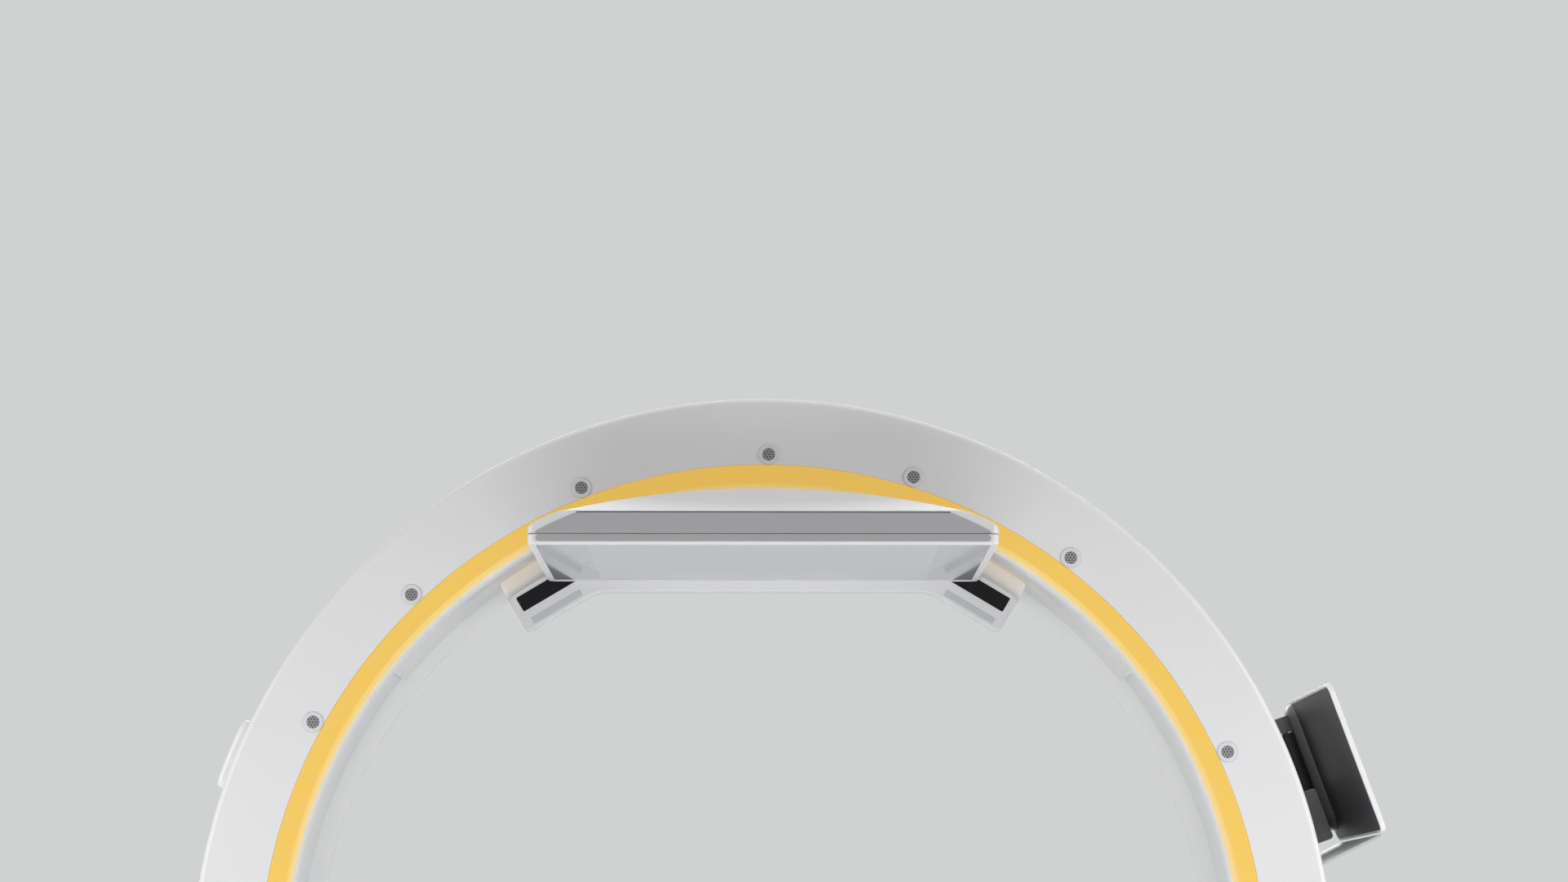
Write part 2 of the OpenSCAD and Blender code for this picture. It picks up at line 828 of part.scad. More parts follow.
module tube_housing() {
    bore = glass_d / 2 + 12;
    end = 10;
    color("slategray") on_ring() difference() {
        union() {
            translate([0, 0, tube_z]) {
                rod(tube_d / 2, tube_d0, tube_d1);
                rod(tube_d / 2 - 20, tube_d1 - eps, src_back);
            }
            block([-port_w / 2, port_d - port_w / 2, tube_z], [port_w / 2, port_d + port_w / 2, port_top]);
        }
        translate([0, 0, tube_z]) rod(bore, tube_d0 + end, tube_d1 - end);
        translate([0, port_d, tube_z]) cylinder(r = 22, h = tube_d);
    }
}

module tube_insert() {
    end = 10;
    wall = 4;
    color("lightcyan") on_ring() translate([0, 0, tube_z]) difference() {
        rod(glass_d / 2, tube_d0 + end, tube_d1 - end);
        rod(glass_d / 2 - wall, tube_d0 + end + 30, tube_d1 - end - 40);
        rod(8.05, tube_d1 - end - 41, tube_d1 - end - 10);
    }
}

module tube_anode() {
    end = 10;
    plate = 12;
    color("dimgray") on_ring() translate([0, 0, tube_z]) {
        rod(8, port_d, tube_d1 - end - 11);
        rod(anode_d / 2 - plate, port_d - plate, port_d + 1);
        rotate([-90, 0, 0]) translate([0, 0, port_d - plate / 2]) rotate_extrude()
            polygon([[0, -plate / 2], [anode_d / 2 - plate, -plate / 2],
                [anode_d / 2, plate / 2], [0, plate / 2]]);
        rod(22, port_d + 20, tube_d1 - end - 50);
    }
}

module collimator_body() {
    color("darkgray") on_ring() difference() {
        block([-pocket_x - 7, port_d - jaw_half - 14, port_top],
            [pocket_x + 7, port_d + jaw_half + 14, colli_top]);
        block([-pocket_x, port_d - jaw_half, jaw_z - fit],
            [pocket_x, port_d + jaw_half, jaw_z + jaw_t + fit]);
        block([-40, port_d - 30, port_top - 1], [40, port_d + 30, colli_top + 1]);
    }
}

module jaw() {
    y = jaw_half - fit;
    color("gray") on_ring()
        block([jaw_open, port_d - y, jaw_z], [jaw_open + jaw_l, port_d + y, jaw_z + jaw_t]);
}

module collimator_jaw_right() { jaw(); }

module collimator_jaw_left() { mirror([1, 0, 0]) jaw(); }

// Columns

// A column's section from its middle to its edge, as distance from the middle and X
module column_edge(t) {
    band(0, head_r - column_f, column_x0 + t, column_x1 - t);
    band(0, head_r - t, column_x0 + column_f, column_x1 - column_f);
    for (x = [column_x0 + column_f, column_x1 - column_f])
        translate([head_r - column_f, x]) circle(column_f - t, $fn = 24);
}

// Half the depth of a column of head radius r at the depth h below the axis
function column_half(r, h) = r * cos(column_a) + (r * sin(column_a) + h) * tan(column_a);

// A column with its walls moved in by t, down to the height z0
module column_solid(t, z0) {
    foot_y = column_half(head_r - t, axis_h - z0 - 1);
    hull() {
        translate([0, 0, axis_h]) rotate([0, 90, 0]) rotate_extrude($fn = 72) intersection() {
            column_edge(t);
            band(0, far, 0, far);
        }
        raise(z0, z0 + 1)
            round_rect([column_x0 + t, -foot_y], [column_x1 - t, foot_y], column_f - t, $fn = 24);
    }
}

module column_cover() {
    stop_hole = 9;
    color("white") difference() {
        column_solid(0, deck_h + plinth_h);
        column_solid(cover_t, deck_h - 1);
        translate([column_x0 - 1, 0, axis_h]) axle(shaft_r + 6, 0, 10);
        stop_frame() translate([0, 0, -20]) cylinder(r = stop_hole, h = 40);
    }
}

module right_column_cover() { column_cover(); }

module left_column_cover() { mirror([1, 0, 0]) column_cover(); }

// The outline of an upright in depth and height about the axis, moved in by t
module upright_outline(t) {
    r = head_r - 12 - t;
    side_r = r - 0.5;
    foot = axis_h - beam_top - t;
    foot_y = column_half(side_r, foot);
    circle(r);
    polygon([[side_r * cos(column_a), side_r * sin(column_a)], [foot_y, -foot], [-foot_y, -foot],
        [-side_r * cos(column_a), side_r * sin(column_a)]]);
}

module upright() {
    color("darkgray") translate([0, 0, axis_h]) difference() {
        union() {
            difference() {
                translate([upright_x0, 0, 0]) rotate([90, 0, 90]) linear_extrude(upright_x1 - upright_x0)
                    upright_outline(0);
                translate([upright_x0 + plate_t, 0, 0]) rotate([90, 0, 90])
                    linear_extrude(upright_x1 - upright_x0 - 2 * plate_t) upright_outline(plate_t);
                for (z = [-240, -440, -620]) translate([0, 0, z]) {
                    axle(50, upright_x0 - 1, upright_x1 + 1);
                }
            }
            axle(hub_r, upright_x0, upright_x1);
        }
        axle(bearing_r, upright_x0 - 1, upright_x1 - 6);
        axle(shaft_r + 2, upright_x0 - 1, upright_x1 + 1);
    }
}

module right_upright() { upright(); }

module left_upright() { mirror([1, 0, 0]) upright(); }

module trunnion_bearings() {
    color("silver") translate([0, 0, axis_h]) both_sides() difference() {
        axle(bearing_r, upright_x0 + 6, upright_x1 - 6);
        axle(shaft_r + 0.05, upright_x0, upright_x1);
    }
}

module tilt_drive() {
    color("dimgray") translate([0, 0, axis_h]) {
        axle(hub_r, upright_x1, upright_x1 + 12);
        axle(hub_r - 10, upright_x1 + 12 - eps, column_x1 - cover_t - 2);
        translate([upright_x1 + 3, -20, -120]) cube([14, 40, 90]);
    }
}

// Emergency stops stand on the columns' front sides

module stop_frame() {
    translate([(column_x0 + column_x1) / 2, 0, axis_h]) mirror([0, 1, 0]) rotate([column_a, 0, 0])
        translate([0, head_r, -stop_l]) rotate([-90, 0, 0]) children();
}

module stop_housings() {
    color("gold") both_sides() stop_frame() difference() {
        union() { cylinder(r = 30, h = 10); translate([0, 0, 10 - eps]) cylinder(r = 25, h = 3); }
        translate([0, 0, -1]) cylinder(r = 8.05, h = 30);
    }
}

module stop_button() {
    neck = 13 + stop_travel + 1;
    color("red") stop_frame() {
        cylinder(r = 8, h = neck + 1);
        translate([0, 0, neck]) cylinder(r = stop_d / 2 - 3, h = 12);
        translate([0, 0, neck + 2]) rotate_extrude() {
            translate([0, 0]) square([stop_d / 2 - 3, 9]);
            translate([stop_d / 2 - 4.5, 4.5]) circle(4.5);
        }
    }
}

module stop_button_right() { stop_button(); }

module stop_button_left() { mirror([1, 0, 0]) stop_button(); }

// Base

module slab_profile(w, h, f) {
    translate([-w / 2, 0]) square([w, h - f]);
    translate([-w / 2 + f, 0]) square([w - 2 * f, h]);
    for (x = [-w / 2 + f, w / 2 - f]) translate([x, h - f]) circle(f);
}

module corner_profile(r, h, f) {
    square([r, h - f]);
    square([r - f, h]);
    translate([r - f, h - f]) intersection() { circle(f); square([f + 1, f + 1]); }
}

// A slab of plan w by d with corner radius r and a rounded top edge f
module soft_slab(w, d, h, r, f) {
    for (x = [-1, 1], y = [-1, 1]) translate([x * (w / 2 - r), y * (d / 2 - r), 0])
        rotate_extrude() corner_profile(r, h, f);
    translate([-(w / 2 - r), 0, 0]) rotate([90, 0, 90]) linear_extrude(w - 2 * r)
        intersection() { slab_profile(d, h, f); translate([-far / 2, 0]) square([far, far]); }
    translate([0, d / 2 - r, 0]) rotate([90, 0, 0]) linear_extrude(d - 2 * r)
        intersection() { slab_profile(w, h, f); translate([-far / 2, 0]) square([far, far]); }
}

module upright_foot(grow) {
    foot_y = head_r + (axis_h - beam_top) * tan(column_a) + grow;
    both_sides() translate([upright_x0 - grow, -foot_y, beam_top - 1])
        cube([upright_x1 - upright_x0 + 2 * grow, 2 * foot_y, 60]);
}

module chassis_cover() {
    w = base_w - 2 * bumper_t;
    d = base_d - 2 * bumper_t;
    t = cover_t;
    foot_y = column_half(head_r, axis_h - deck_h - plinth_h);
    color("white") difference() {
        union() {
            translate([0, 0, skirt_z]) soft_slab(w, d, deck_h - skirt_z, base_r, deck_f);
            both_sides() raise(deck_h - eps, deck_h + plinth_h)
                round_rect([column_x0, -foot_y], [column_x1, foot_y], column_f);
        }
        translate([0, 0, skirt_z - 1])
            soft_slab(w - 2 * t, d - 2 * t, deck_h - skirt_z + 1 - t, base_r - t, deck_f - t);
        upright_foot(1);
        translate([-inlet_w / 2, d / 2 - 20, inlet_z - inlet_h / 2]) cube([inlet_w, 40, inlet_h]);
    }
}

module base_bumper() {
    t = bumper_t;
    color("gray") raise(skirt_z, skirt_z + bumper_h) difference() {
        round_rect([-base_w / 2, -base_d / 2], [base_w / 2, base_d / 2], base_r + t);
        round_rect([-base_w / 2 + t, -base_d / 2 + t], [base_w / 2 - t, base_d / 2 - t], base_r);
    }
}

module chassis_frame() {
    side_x = base_w / 2 - bumper_t - deck_f - 2;
    castor_b = 45;
    color("dimgray") difference() {
        union() {
            for (y = [-cross_y, cross_y])
                block([-side_x, y - beam_w / 2, beam_z], [side_x, y + beam_w / 2, beam_top]);
            both_sides() {
                block([castor_x - castor_b, -castor_y - castor_b, beam_z],
                    [castor_x + castor_b, castor_y + castor_b, beam_top]);
                block([upright_x0 - 4, -cross_y, beam_z], [upright_x1 + 4, cross_y, beam_top]);
                for (y = [-castor_y, castor_y]) translate([castor_x, y, plate_z])
                    cylinder(r = castor_b - 3, h = beam_top - plate_z);
            }
            for (y = [-cross_y + beam_w / 2 - 4, cross_y - beam_w / 2])
                translate([-tray_x, y, tray_z]) cube([2 * tray_x, tray_wall, beam_z - tray_z + 1]);
            translate([-tray_x, -cross_y + beam_w / 2 - 4, tray_z])
                cube([2 * tray_x, 2 * cross_y - beam_w + 8, tray_wall]);
        }
        for (x = [-castor_x, castor_x], y = [-castor_y, castor_y]) translate([x, y, 0])
            cylinder(r = 12.05, h = beam_top - 6);
    }
}

// The battery and the power unit stand left and right in the tray

module battery_pack() {
    top = deck_h - 24;
    color("darkslategray") {
        block([-tray_x + tray_gap, -tray_y, tray_z + tray_wall], [-tray_gap, tray_y, top]);
        for (y = [-tray_y / 2, tray_y / 2])
            block([-tray_x + 50, y - 60, top - eps], [-50, y + 60, top + 10]);
    }
}

module power_unit() {
    top = deck_h - 30;
    fins = 8;
    pitch = (tray_x - 80) / fins;
    color("steelblue") {
        block([tray_gap, -tray_y, tray_z + tray_wall], [tray_x - tray_gap, tray_y, top]);
        for (i = [0:fins - 1]) translate([tray_gap + 30 + i * pitch, 0, 0])
            block([0, -tray_y + 30, top - eps], [6, tray_y - 30, top + 16]);
    }
}

module power_inlet() {
    y = base_d / 2 - bumper_t;
    color("dimgray") translate([0, y, inlet_z]) difference() {
        union() {
            block([-42, 0, -25], [42, 4, 25]);
            block([-inlet_w / 2 + 0.5, -46, -inlet_h / 2 + 0.5], [inlet_w / 2 - 0.5, eps, inlet_h / 2 - 0.5]);
        }
        block([-24, -36, -12], [24, 5, 12]);
    }
}

// Castors, drawn about the foot of the swivel with the wheels trailing to the left

module castor_fork() {
    neck = 9;
    color("lightgray") {
        translate([0, 0, crown_z]) cylinder(r = 34, h = crown_t);
        translate([0, 0, crown_z + crown_t - eps]) cylinder(r = 12, h = beam_top - 10 - crown_z - crown_t);
        rotate([90, 0, 0]) translate([0, 0, -neck]) linear_extrude(2 * neck) {
            polygon([[16, crown_z + 1], [-trail - 14, crown_z + 1],
                [-trail - 14, wheel_r], [-trail + 14, wheel_r - 6]]);
            translate([-trail, wheel_r]) circle(15);
        }
        translate([-trail, 0, wheel_r]) rotate([90, 0, 0])
            translate([0, 0, -(neck + wheel_w + 4)]) cylinder(r = axle_r, h = 2 * (neck + wheel_w + 4));
    }
}

module castor_wheels() {
    f = 6;
    color("gray") for (s = [-1, 1]) translate([-trail, s * (10 + wheel_w / 2), wheel_r]) rotate([90, 0, 0])
        rotate_extrude($fn = 64) difference() {
            union() {
                translate([axle_r + 0.05, -wheel_w / 2]) square([wheel_r - f - axle_r - 0.05, wheel_w]);
                translate([wheel_r - f - 1, -wheel_w / 2 + f]) square([f + 1, wheel_w - 2 * f]);
                for (y = [-wheel_w / 2 + f, wheel_w / 2 - f]) translate([wheel_r - f, y]) circle(f, $fn = 32);
            }
            for (y = [-wheel_w / 2 - 1, wheel_w / 2 - 4]) translate([16, y]) square([16, 5]);
        }
}

module at_castor(x, y) { translate([x * castor_x, y * castor_y, 0]) children(); }

module castor_fork_front_left() { at_castor(-1, -1) mirror([1, 0, 0]) castor_fork(); }
module castor_fork_front_right() { at_castor(1, -1) castor_fork(); }
module castor_fork_rear_left() { at_castor(-1, 1) mirror([1, 0, 0]) castor_fork(); }
module castor_fork_rear_right() { at_castor(1, 1) castor_fork(); }
module castor_wheels_front_left() { at_castor(-1, -1) mirror([1, 0, 0]) castor_wheels(); }
module castor_wheels_front_right() { at_castor(1, -1) castor_wheels(); }
module castor_wheels_rear_left() { at_castor(-1, 1) mirror([1, 0, 0]) castor_wheels(); }
module castor_wheels_rear_right() { at_castor(1, 1) castor_wheels(); }

chassis_frame();
left_upright();
right_upright();
chassis_cover();
base_bumper();
left_column_cover();
right_column_cover();
trunnion_bearings();
tilt_drive();
battery_pack();
power_unit();
power_inlet();
stop_housings();
stop_button_left();
stop_button_right();
castor_fork_front_left();
castor_fork_front_right();
castor_fork_rear_left();
castor_fork_rear_right();
castor_wheels_front_left();
castor_wheels_front_right();
castor_wheels_rear_left();
castor_wheels_rear_right();
front_cover();
accent_band();
front_lip();
rear_cover();
ring_frame();
outer_races();
drive_stators();
marker_rims();
marker_discs();
gantry_electronics();
service_cable();
side_module();
tablet_bracket();
tablet_ledge();
trunnions();
source_rotor_ring();
source_carriage();
source_shell();
source_window();
tube_housing();
tube_insert();
tube_anode();
collimator_body();
collimator_jaw_left();
collimator_jaw_right();
detector_rotor_ring();
detector_carriage();
scanner_windows();
status_strips();
detector_roof();
detector_front_panel();
detector_lower_frame();
detector_window();
detector_sensor();
tablet_back();
tablet_bezel();
tablet_screen();
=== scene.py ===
"""Dresses a mobile ring scanner. Rounded skins stand for the plain solids of its covers, detector, tablet,
columns, base, stops and castors, and every part gets a procedural finish.

Shapes are in millimetres in the part's own frame: X right, Y away from the camera, Z up, origin on the
floor under the ring. Round the ring a place is (radius, angle from the right, depth behind the front face).
Patterns, lamps and the camera are in metres.
"""
import json
import math

import bmesh
import bpy
import numpy as np
from mathutils import Euler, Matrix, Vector


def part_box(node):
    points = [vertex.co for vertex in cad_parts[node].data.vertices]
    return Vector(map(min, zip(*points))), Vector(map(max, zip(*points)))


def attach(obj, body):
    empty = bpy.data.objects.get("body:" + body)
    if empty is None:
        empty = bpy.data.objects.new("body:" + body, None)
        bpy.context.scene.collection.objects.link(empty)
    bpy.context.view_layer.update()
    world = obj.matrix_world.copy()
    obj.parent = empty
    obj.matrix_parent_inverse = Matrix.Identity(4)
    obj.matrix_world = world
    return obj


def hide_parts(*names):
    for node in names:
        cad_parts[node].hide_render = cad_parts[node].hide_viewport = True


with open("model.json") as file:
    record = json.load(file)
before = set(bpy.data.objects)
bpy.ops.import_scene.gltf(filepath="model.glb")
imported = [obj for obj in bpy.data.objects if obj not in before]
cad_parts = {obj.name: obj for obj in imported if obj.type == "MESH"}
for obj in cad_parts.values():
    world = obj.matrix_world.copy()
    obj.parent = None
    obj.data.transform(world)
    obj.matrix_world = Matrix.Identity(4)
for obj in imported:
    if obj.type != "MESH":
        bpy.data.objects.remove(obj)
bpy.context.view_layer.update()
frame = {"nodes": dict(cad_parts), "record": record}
nodes = frame["nodes"]

# The ring's front face, the height of its axis and its radius. BOTH is the right side, then the left

cover_low, cover_high = np.array(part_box("front_cover")) * 1000
FACE_Y = cover_low[1]
AXIS_Z = (cover_high[2] + cover_low[2]) / 2
RING_R = cover_high[0]
BOTH = (1, -1)


# Outlines and profiles

def arc(centre, r, a0, a1, steps=8):
    """Points on a circle: centre + r (cos a, sin a), with a running from a0 to a1 degrees."""
    a = np.radians(np.linspace(a0, a1, steps + 1))
    return np.column_stack([centre[0] + r * np.cos(a), centre[1] + r * np.sin(a)])


def path(*bits):
    """Joins points and arcs, in order, in one array of (n, 2)."""
    return np.vstack([np.atleast_2d(np.asarray(b, float)) for b in bits])


def round_rect(x0, y0, x1, y1, r, steps=8):
    """A rectangle with quarter circles of radius r at its corners, anticlockwise."""
    return path(arc((x1 - r, y0 + r), r, -90, 0, steps), arc((x1 - r, y1 - r), r, 0, 90, steps),
                arc((x0 + r, y1 - r), r, 90, 180, steps), arc((x0 + r, y0 + r), r, 180, 270, steps))


def resampled(outline, spacing):
    """Adds evenly spaced points on the sides of a closed outline that are longer than spacing."""
    nxt = np.roll(outline, -1, 0)
    n = np.maximum(1, np.ceil(np.linalg.norm(nxt - outline, axis=1) / spacing)).astype(int)
    which = np.repeat(np.arange(len(outline)), n)
    t = (np.arange(n.sum()) - np.repeat(np.cumsum(n) - n, n)) / n[which]
    return outline[which] + t[:, None] * (nxt - outline)[which]


def inset(outline, by):
    """Moves each point of a closed anticlockwise outline inwards by a distance, along the mean of the
    normals of its two sides, divided by the cosine of half the turn between them."""
    ahead = np.roll(outline, -1, 0) - outline
    n = np.column_stack([-ahead[:, 1], ahead[:, 0]])
    n /= np.maximum(np.linalg.norm(n, axis=1, keepdims=True), 1e-9)
    m = n + np.roll(n, 1, 0)
    m /= np.maximum(np.linalg.norm(m, axis=1, keepdims=True), 1e-9)
    reach = np.maximum((m * n).sum(1, keepdims=True), 0.5)
    return outline + by * m / reach


def foot_edge(f, low, steps=5):
    """Rows (inset, height) round the foot of a wall: (f (1 - sin a), low + f (1 - cos a))."""
    a = np.radians(np.linspace(0, 90, steps + 1))
    return np.column_stack([f * (1 - np.sin(a)), low + f * (1 - np.cos(a))])


def top_edge(f, high, steps=5):
    """Rows (inset, height) round the top of a wall: (f (1 - cos a), high - f (1 - sin a))."""
    a = np.radians(np.linspace(0, 90, steps + 1))
    return np.column_stack([f * (1 - np.cos(a)), high - f * (1 - np.sin(a))])


def groove(z, width, depth):
    """Rows (inset, height) of a shallow V with a flat bottom, round a height z."""
    return [[0, z - width / 2], [depth, z - width / 4], [depth, z + width / 4], [0, z + width / 2]]


# Surfaces: each returns (points, faces)

def grid(points, along=False, caps=""):
    """Faces over a grid of points [row, column], with the last column joined to the first. along joins the
    last row to the first, and caps closes the first ("a") and last ("b") rows with flat faces."""
    rows, cols = points.shape[:2]
    i = np.arange(rows if along else rows - 1)[:, None]
    j = np.arange(cols)[None, :]
    i2, j2 = (i + 1) % rows, (j + 1) % cols
    quads = np.stack([i * cols + j, i * cols + j2, i2 * cols + j2, i2 * cols + j], -1).reshape(-1, 4)
    faces = quads.tolist()
    if "a" in caps:
        faces.append(list(range(cols))[::-1])
    if "b" in caps:
        faces.append(list(range((rows - 1) * cols, rows * cols)))
    return points.reshape(-1, 3), faces


def ring_place(r, a, d):
    """Turns radius, angle in radians and depth into a point: (r cos a, face + d, axis + r sin a)."""
    r, a, d = np.broadcast_arrays(r, a, d)
    return np.stack([r * np.cos(a), FACE_Y + d, AXIS_Z + r * np.sin(a)], -1)


def turned(profile, steps=360):
    """A closed profile of (radius, depth) turned round the ring's axis."""
    a = np.linspace(0, 2 * np.pi, steps, endpoint=False)[:, None]
    return grid(ring_place(profile[None, :, 0], a, profile[None, :, 1]), along=True)


def spun(profile, place, steps=48, caps="", closed=False):
    """A profile of (radius, height) turned about the Z axis of a local frame: (r cos a, r sin a, h),
    then put in its place by a function of points. A closed profile makes a ring."""
    a = np.linspace(0, 2 * np.pi, steps, endpoint=False)[None, :]
    x, y = profile[:, :1] * np.cos(a), profile[:, :1] * np.sin(a)
    z = np.broadcast_to(profile[:, 1:], x.shape)
    return grid(place(np.stack([x, y, z], -1)), along=closed, caps=caps)


def stacked(outline, rows):
    """Copies of an outline, each moved inwards and raised by its row (inset, height)."""
    return np.stack([np.column_stack([inset(outline, i), np.full(len(outline), h)]) for i, h in rows])


def slab(outline, rows, place):
    """A block whose wall follows the rows of an outline, closed by flat faces."""
    return grid(place(stacked(outline, rows)), caps="ab")


def rail(outline, rows, place):
    """A closed frame round an outline, whose section is the loop of its rows (inset, height)."""
    return grid(place(stacked(outline, rows)), along=True)


def cushion(outline, rows, place, rings=8):
    """A slab with a curved top: after the last row, rings shrink towards the middle as
    c + (1 - s)(p - c), so that a bent placing function bends the top as well."""
    pts = stacked(outline, rows)
    last = pts[-1]
    middle = last.mean(0)
    s = np.linspace(0, 1, rings + 1)[1:, None, None]
    pts = np.concatenate([pts, middle + (1 - s) * (last - middle)])
    return grid(place(pts), caps="a")


# Placing functions, from local coordinates to the part's own

def frame_at(origin, x, y, z):
    """A placing function: origin + x p0 + y p1 + z p2, for the axes x, y and z."""
    axes = np.array([x, y, z], float)
    return lambda p: np.asarray(origin, float) + p @ axes


def reordered(place, order, shift=(0, 0, 0)):
    """Gives a placing function its coordinates in another order, then shifted."""
    return lambda p: place(p[..., order] + shift)


def straight(p):
    """Local coordinates that are already the part's own."""
    return p


def along_ring(p):
    """Local x right from the axis, y as depth, z as height above the axis."""
    return p + [0, FACE_Y, AXIS_Z]


facing = reordered(along_ring, [0, 2, 1])


def at_rim(angle):
    """Local x as depth, y along the rim's tangent, z outwards from the axis, at an angle in degrees."""
    a = math.radians(angle)
    return frame_at((0, FACE_Y, AXIS_Z), (0, 1, 0), (-math.sin(a), 0, math.cos(a)),
                    (math.cos(a), 0, math.sin(a)))


def mirrored(side, x=0, y=0):
    """Local coordinates from the point (side x, y) of the floor, with x turned round on the left side."""
    return frame_at((side * x, y, 0), (side, 0, 0), (0, 1, 0), (0, 0, 1))


def bent_on_rim(angle):
    """Local x as depth, y along the rim as arc length, z above the rim: r = R + z, a = angle + y / R."""
    return lambda p: ring_place(RING_R + p[..., 2], math.radians(angle) + p[..., 1] / RING_R, p[..., 0])


def make(name, surfaces, finish, body, stands_for=None, sharp=32):
    """Joins surfaces in one mesh in metres, with its faces outwards and its seams closed. The piece's slot
    has the name of its finish."""
    points, faces, start = [], [], 0
    for p, f in surfaces:
        points.append(p)
        faces.extend([[k + start for k in face] for face in f])
        start += len(p)
    mesh = bpy.data.meshes.new(name)
    mesh.from_pydata((np.vstack(points) * 0.001).tolist(), [], faces)
    bm = bmesh.new()
    bm.from_mesh(mesh)
    bmesh.ops.remove_doubles(bm, verts=bm.verts, dist=2e-6)
    bmesh.ops.recalc_face_normals(bm, faces=bm.faces)
    bm.to_mesh(mesh)
    bm.free()
    mesh.shade_smooth()
    mesh.set_sharp_from_angle(angle=math.radians(sharp))
    mesh.materials.append(FINISHES[finish])
    piece = bpy.data.objects.new(name, mesh)
    bpy.context.scene.collection.objects.link(piece)
    weights = piece.modifiers.new("even_shading", "WEIGHTED_NORMAL")
    weights.keep_sharp = True
    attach(piece, body)
    if stands_for:
        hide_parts(stands_for)
    return piece


# Shader nodes

NUMBER, VECTOR, COLOR = "NodeSocketFloat", "NodeSocketVector", "NodeSocketColor"


def add(tree, kind, inputs=(), **properties):
    """Adds a node and sets its properties. Each input, by name or number, is a socket to link from or a
    plain value."""
    node = tree.nodes.new(kind)
    for key, value in properties.items():
        setattr(node, key, value)
    for key, source in dict(inputs).items():
        if isinstance(source, bpy.types.NodeSocket):
            tree.links.new(source, node.inputs[key])
        else:
            node.inputs[key].default_value = source
    return node


def maths(tree, operation, *sources):
    """The result of a Math node, from sockets and plain numbers."""
    return add(tree, "ShaderNodeMath", enumerate(sources), operation=operation).outputs[0]


def vectors(tree, operation, *sources):
    """The result of a Vector Math node, from sockets and plain vectors: a number for a length or a dot
    product, and otherwise a vector."""
    node = add(tree, "ShaderNodeVectorMath", enumerate(sources), operation=operation)
    return node.outputs["Value" if operation in ("LENGTH", "DOT_PRODUCT") else "Vector"]


def noise(tree, place, scale, detail=2.0):
    """Noise from 0 to 1 at a place."""
    return add(tree, "ShaderNodeTexNoise", {"Vector": place, "Scale": scale, "Detail": detail}).outputs["Fac"]


def raised(tree, height, strength, distance):
    """The normal of a relief with the given height."""
    values = {"Height": height, "Strength": strength, "Distance": distance}
    return add(tree, "ShaderNodeBump", values).outputs[0]


def distance_ramp(tree, scale, centre, start, end):
    """A mask from the length of (object place - centre) * scale: 0 at start, 1 at end, in metres."""
    place = add(tree, "ShaderNodeTexCoord").outputs["Object"]
    away = vectors(tree, "MULTIPLY", vectors(tree, "SUBTRACT", place, centre), scale)
    values = {"Value": vectors(tree, "LENGTH", away), "From Min": start, "From Max": end}
    return add(tree, "ShaderNodeMapRange", values).outputs[0]


def shift_colour(tree, socket, mask, first, second):
    """Feeds a shader's socket with the first colour where a mask is 0 and the second where it is 1."""
    mix = add(tree, "ShaderNodeMix", {0: mask, 6: first, 7: second}, data_type="RGBA")
    tree.links.new(mix.outputs[2], socket)


# Pattern groups

def open_group(name, inputs):
    """Starts a group that takes a place and the inputs (name, kind, value), and gives a colour, a roughness
    and a normal. Returns it with its input sockets."""
    group = bpy.data.node_groups.new(name, "ShaderNodeTree")
    group.interface.new_socket(name="Vector", in_out="INPUT", socket_type=VECTOR)
    for label, kind, value in inputs:
        group.interface.new_socket(name=label, in_out="INPUT", socket_type=kind).default_value = value
    for label, kind in (("Color", COLOR), ("Roughness", NUMBER), ("Normal", VECTOR)):
        group.interface.new_socket(name=label, in_out="OUTPUT", socket_type=kind)
    return group, group.nodes.new("NodeGroupInput").outputs


def close_group(group, given, tone, rough, normal):
    """Ends a group: its colour times a tone, its roughness and its normal."""
    tint = add(group, "ShaderNodeVectorMath", {0: given["Color"], "Scale": tone}, operation="SCALE")
    add(group, "NodeGroupOutput", {"Color": tint.outputs[0], "Roughness": rough, "Normal": normal})
    return group


def build_moulded_grain():
    """Fine moulded texture: the colour is multiplied by 1 + (slow noise - 0.5) drift, the roughness moves by
    (quicker noise - 0.5) times its own drift, and a fine noise raises the surface."""
    group, given = open_group("moulded_grain", [
        ("Color", COLOR, (0.8, 0.8, 0.8, 1)), ("Drift", NUMBER, 0.04), ("Roughness", NUMBER, 0.4),
        ("Roughness Drift", NUMBER, 0.05), ("Grain Size", NUMBER, 900.0), ("Relief", NUMBER, 0.05)])
    slow = maths(group, "SUBTRACT", noise(group, given["Vector"], 4.0), 0.5)
    quick = maths(group, "SUBTRACT", noise(group, given["Vector"], 45.0, 3.0), 0.5)
    fine = noise(group, given["Vector"], given["Grain Size"], 1.0)
    tone = maths(group, "MULTIPLY_ADD", slow, given["Drift"], 1.0)
    rough = maths(group, "MULTIPLY_ADD", quick, given["Roughness Drift"], given["Roughness"])
    return close_group(group, given, tone, rough, raised(group, fine, given["Relief"], 0.0004))


def build_brushed():
    """Brushed or turned metal: noise stretched along one axis streaks the roughness and the colour."""
    group, given = open_group("brushed", [
        ("Color", COLOR, (0.6, 0.6, 0.6, 1)), ("Stretch", VECTOR, (40.0, 900.0, 900.0)),
        ("Roughness", NUMBER, 0.3), ("Streaks", NUMBER, 0.2), ("Relief", NUMBER, 0.05)])
    streak = noise(group, vectors(group, "MULTIPLY", given["Vector"], given["Stretch"]), 1.0)
    centred = maths(group, "SUBTRACT", streak, 0.5)
    tone = maths(group, "MULTIPLY_ADD", centred, given["Streaks"], 1.0)
    rough = maths(group, "MULTIPLY_ADD", centred, given["Streaks"], given["Roughness"])
    return close_group(group, given, tone, rough, raised(group, streak, given["Relief"], 0.0003))


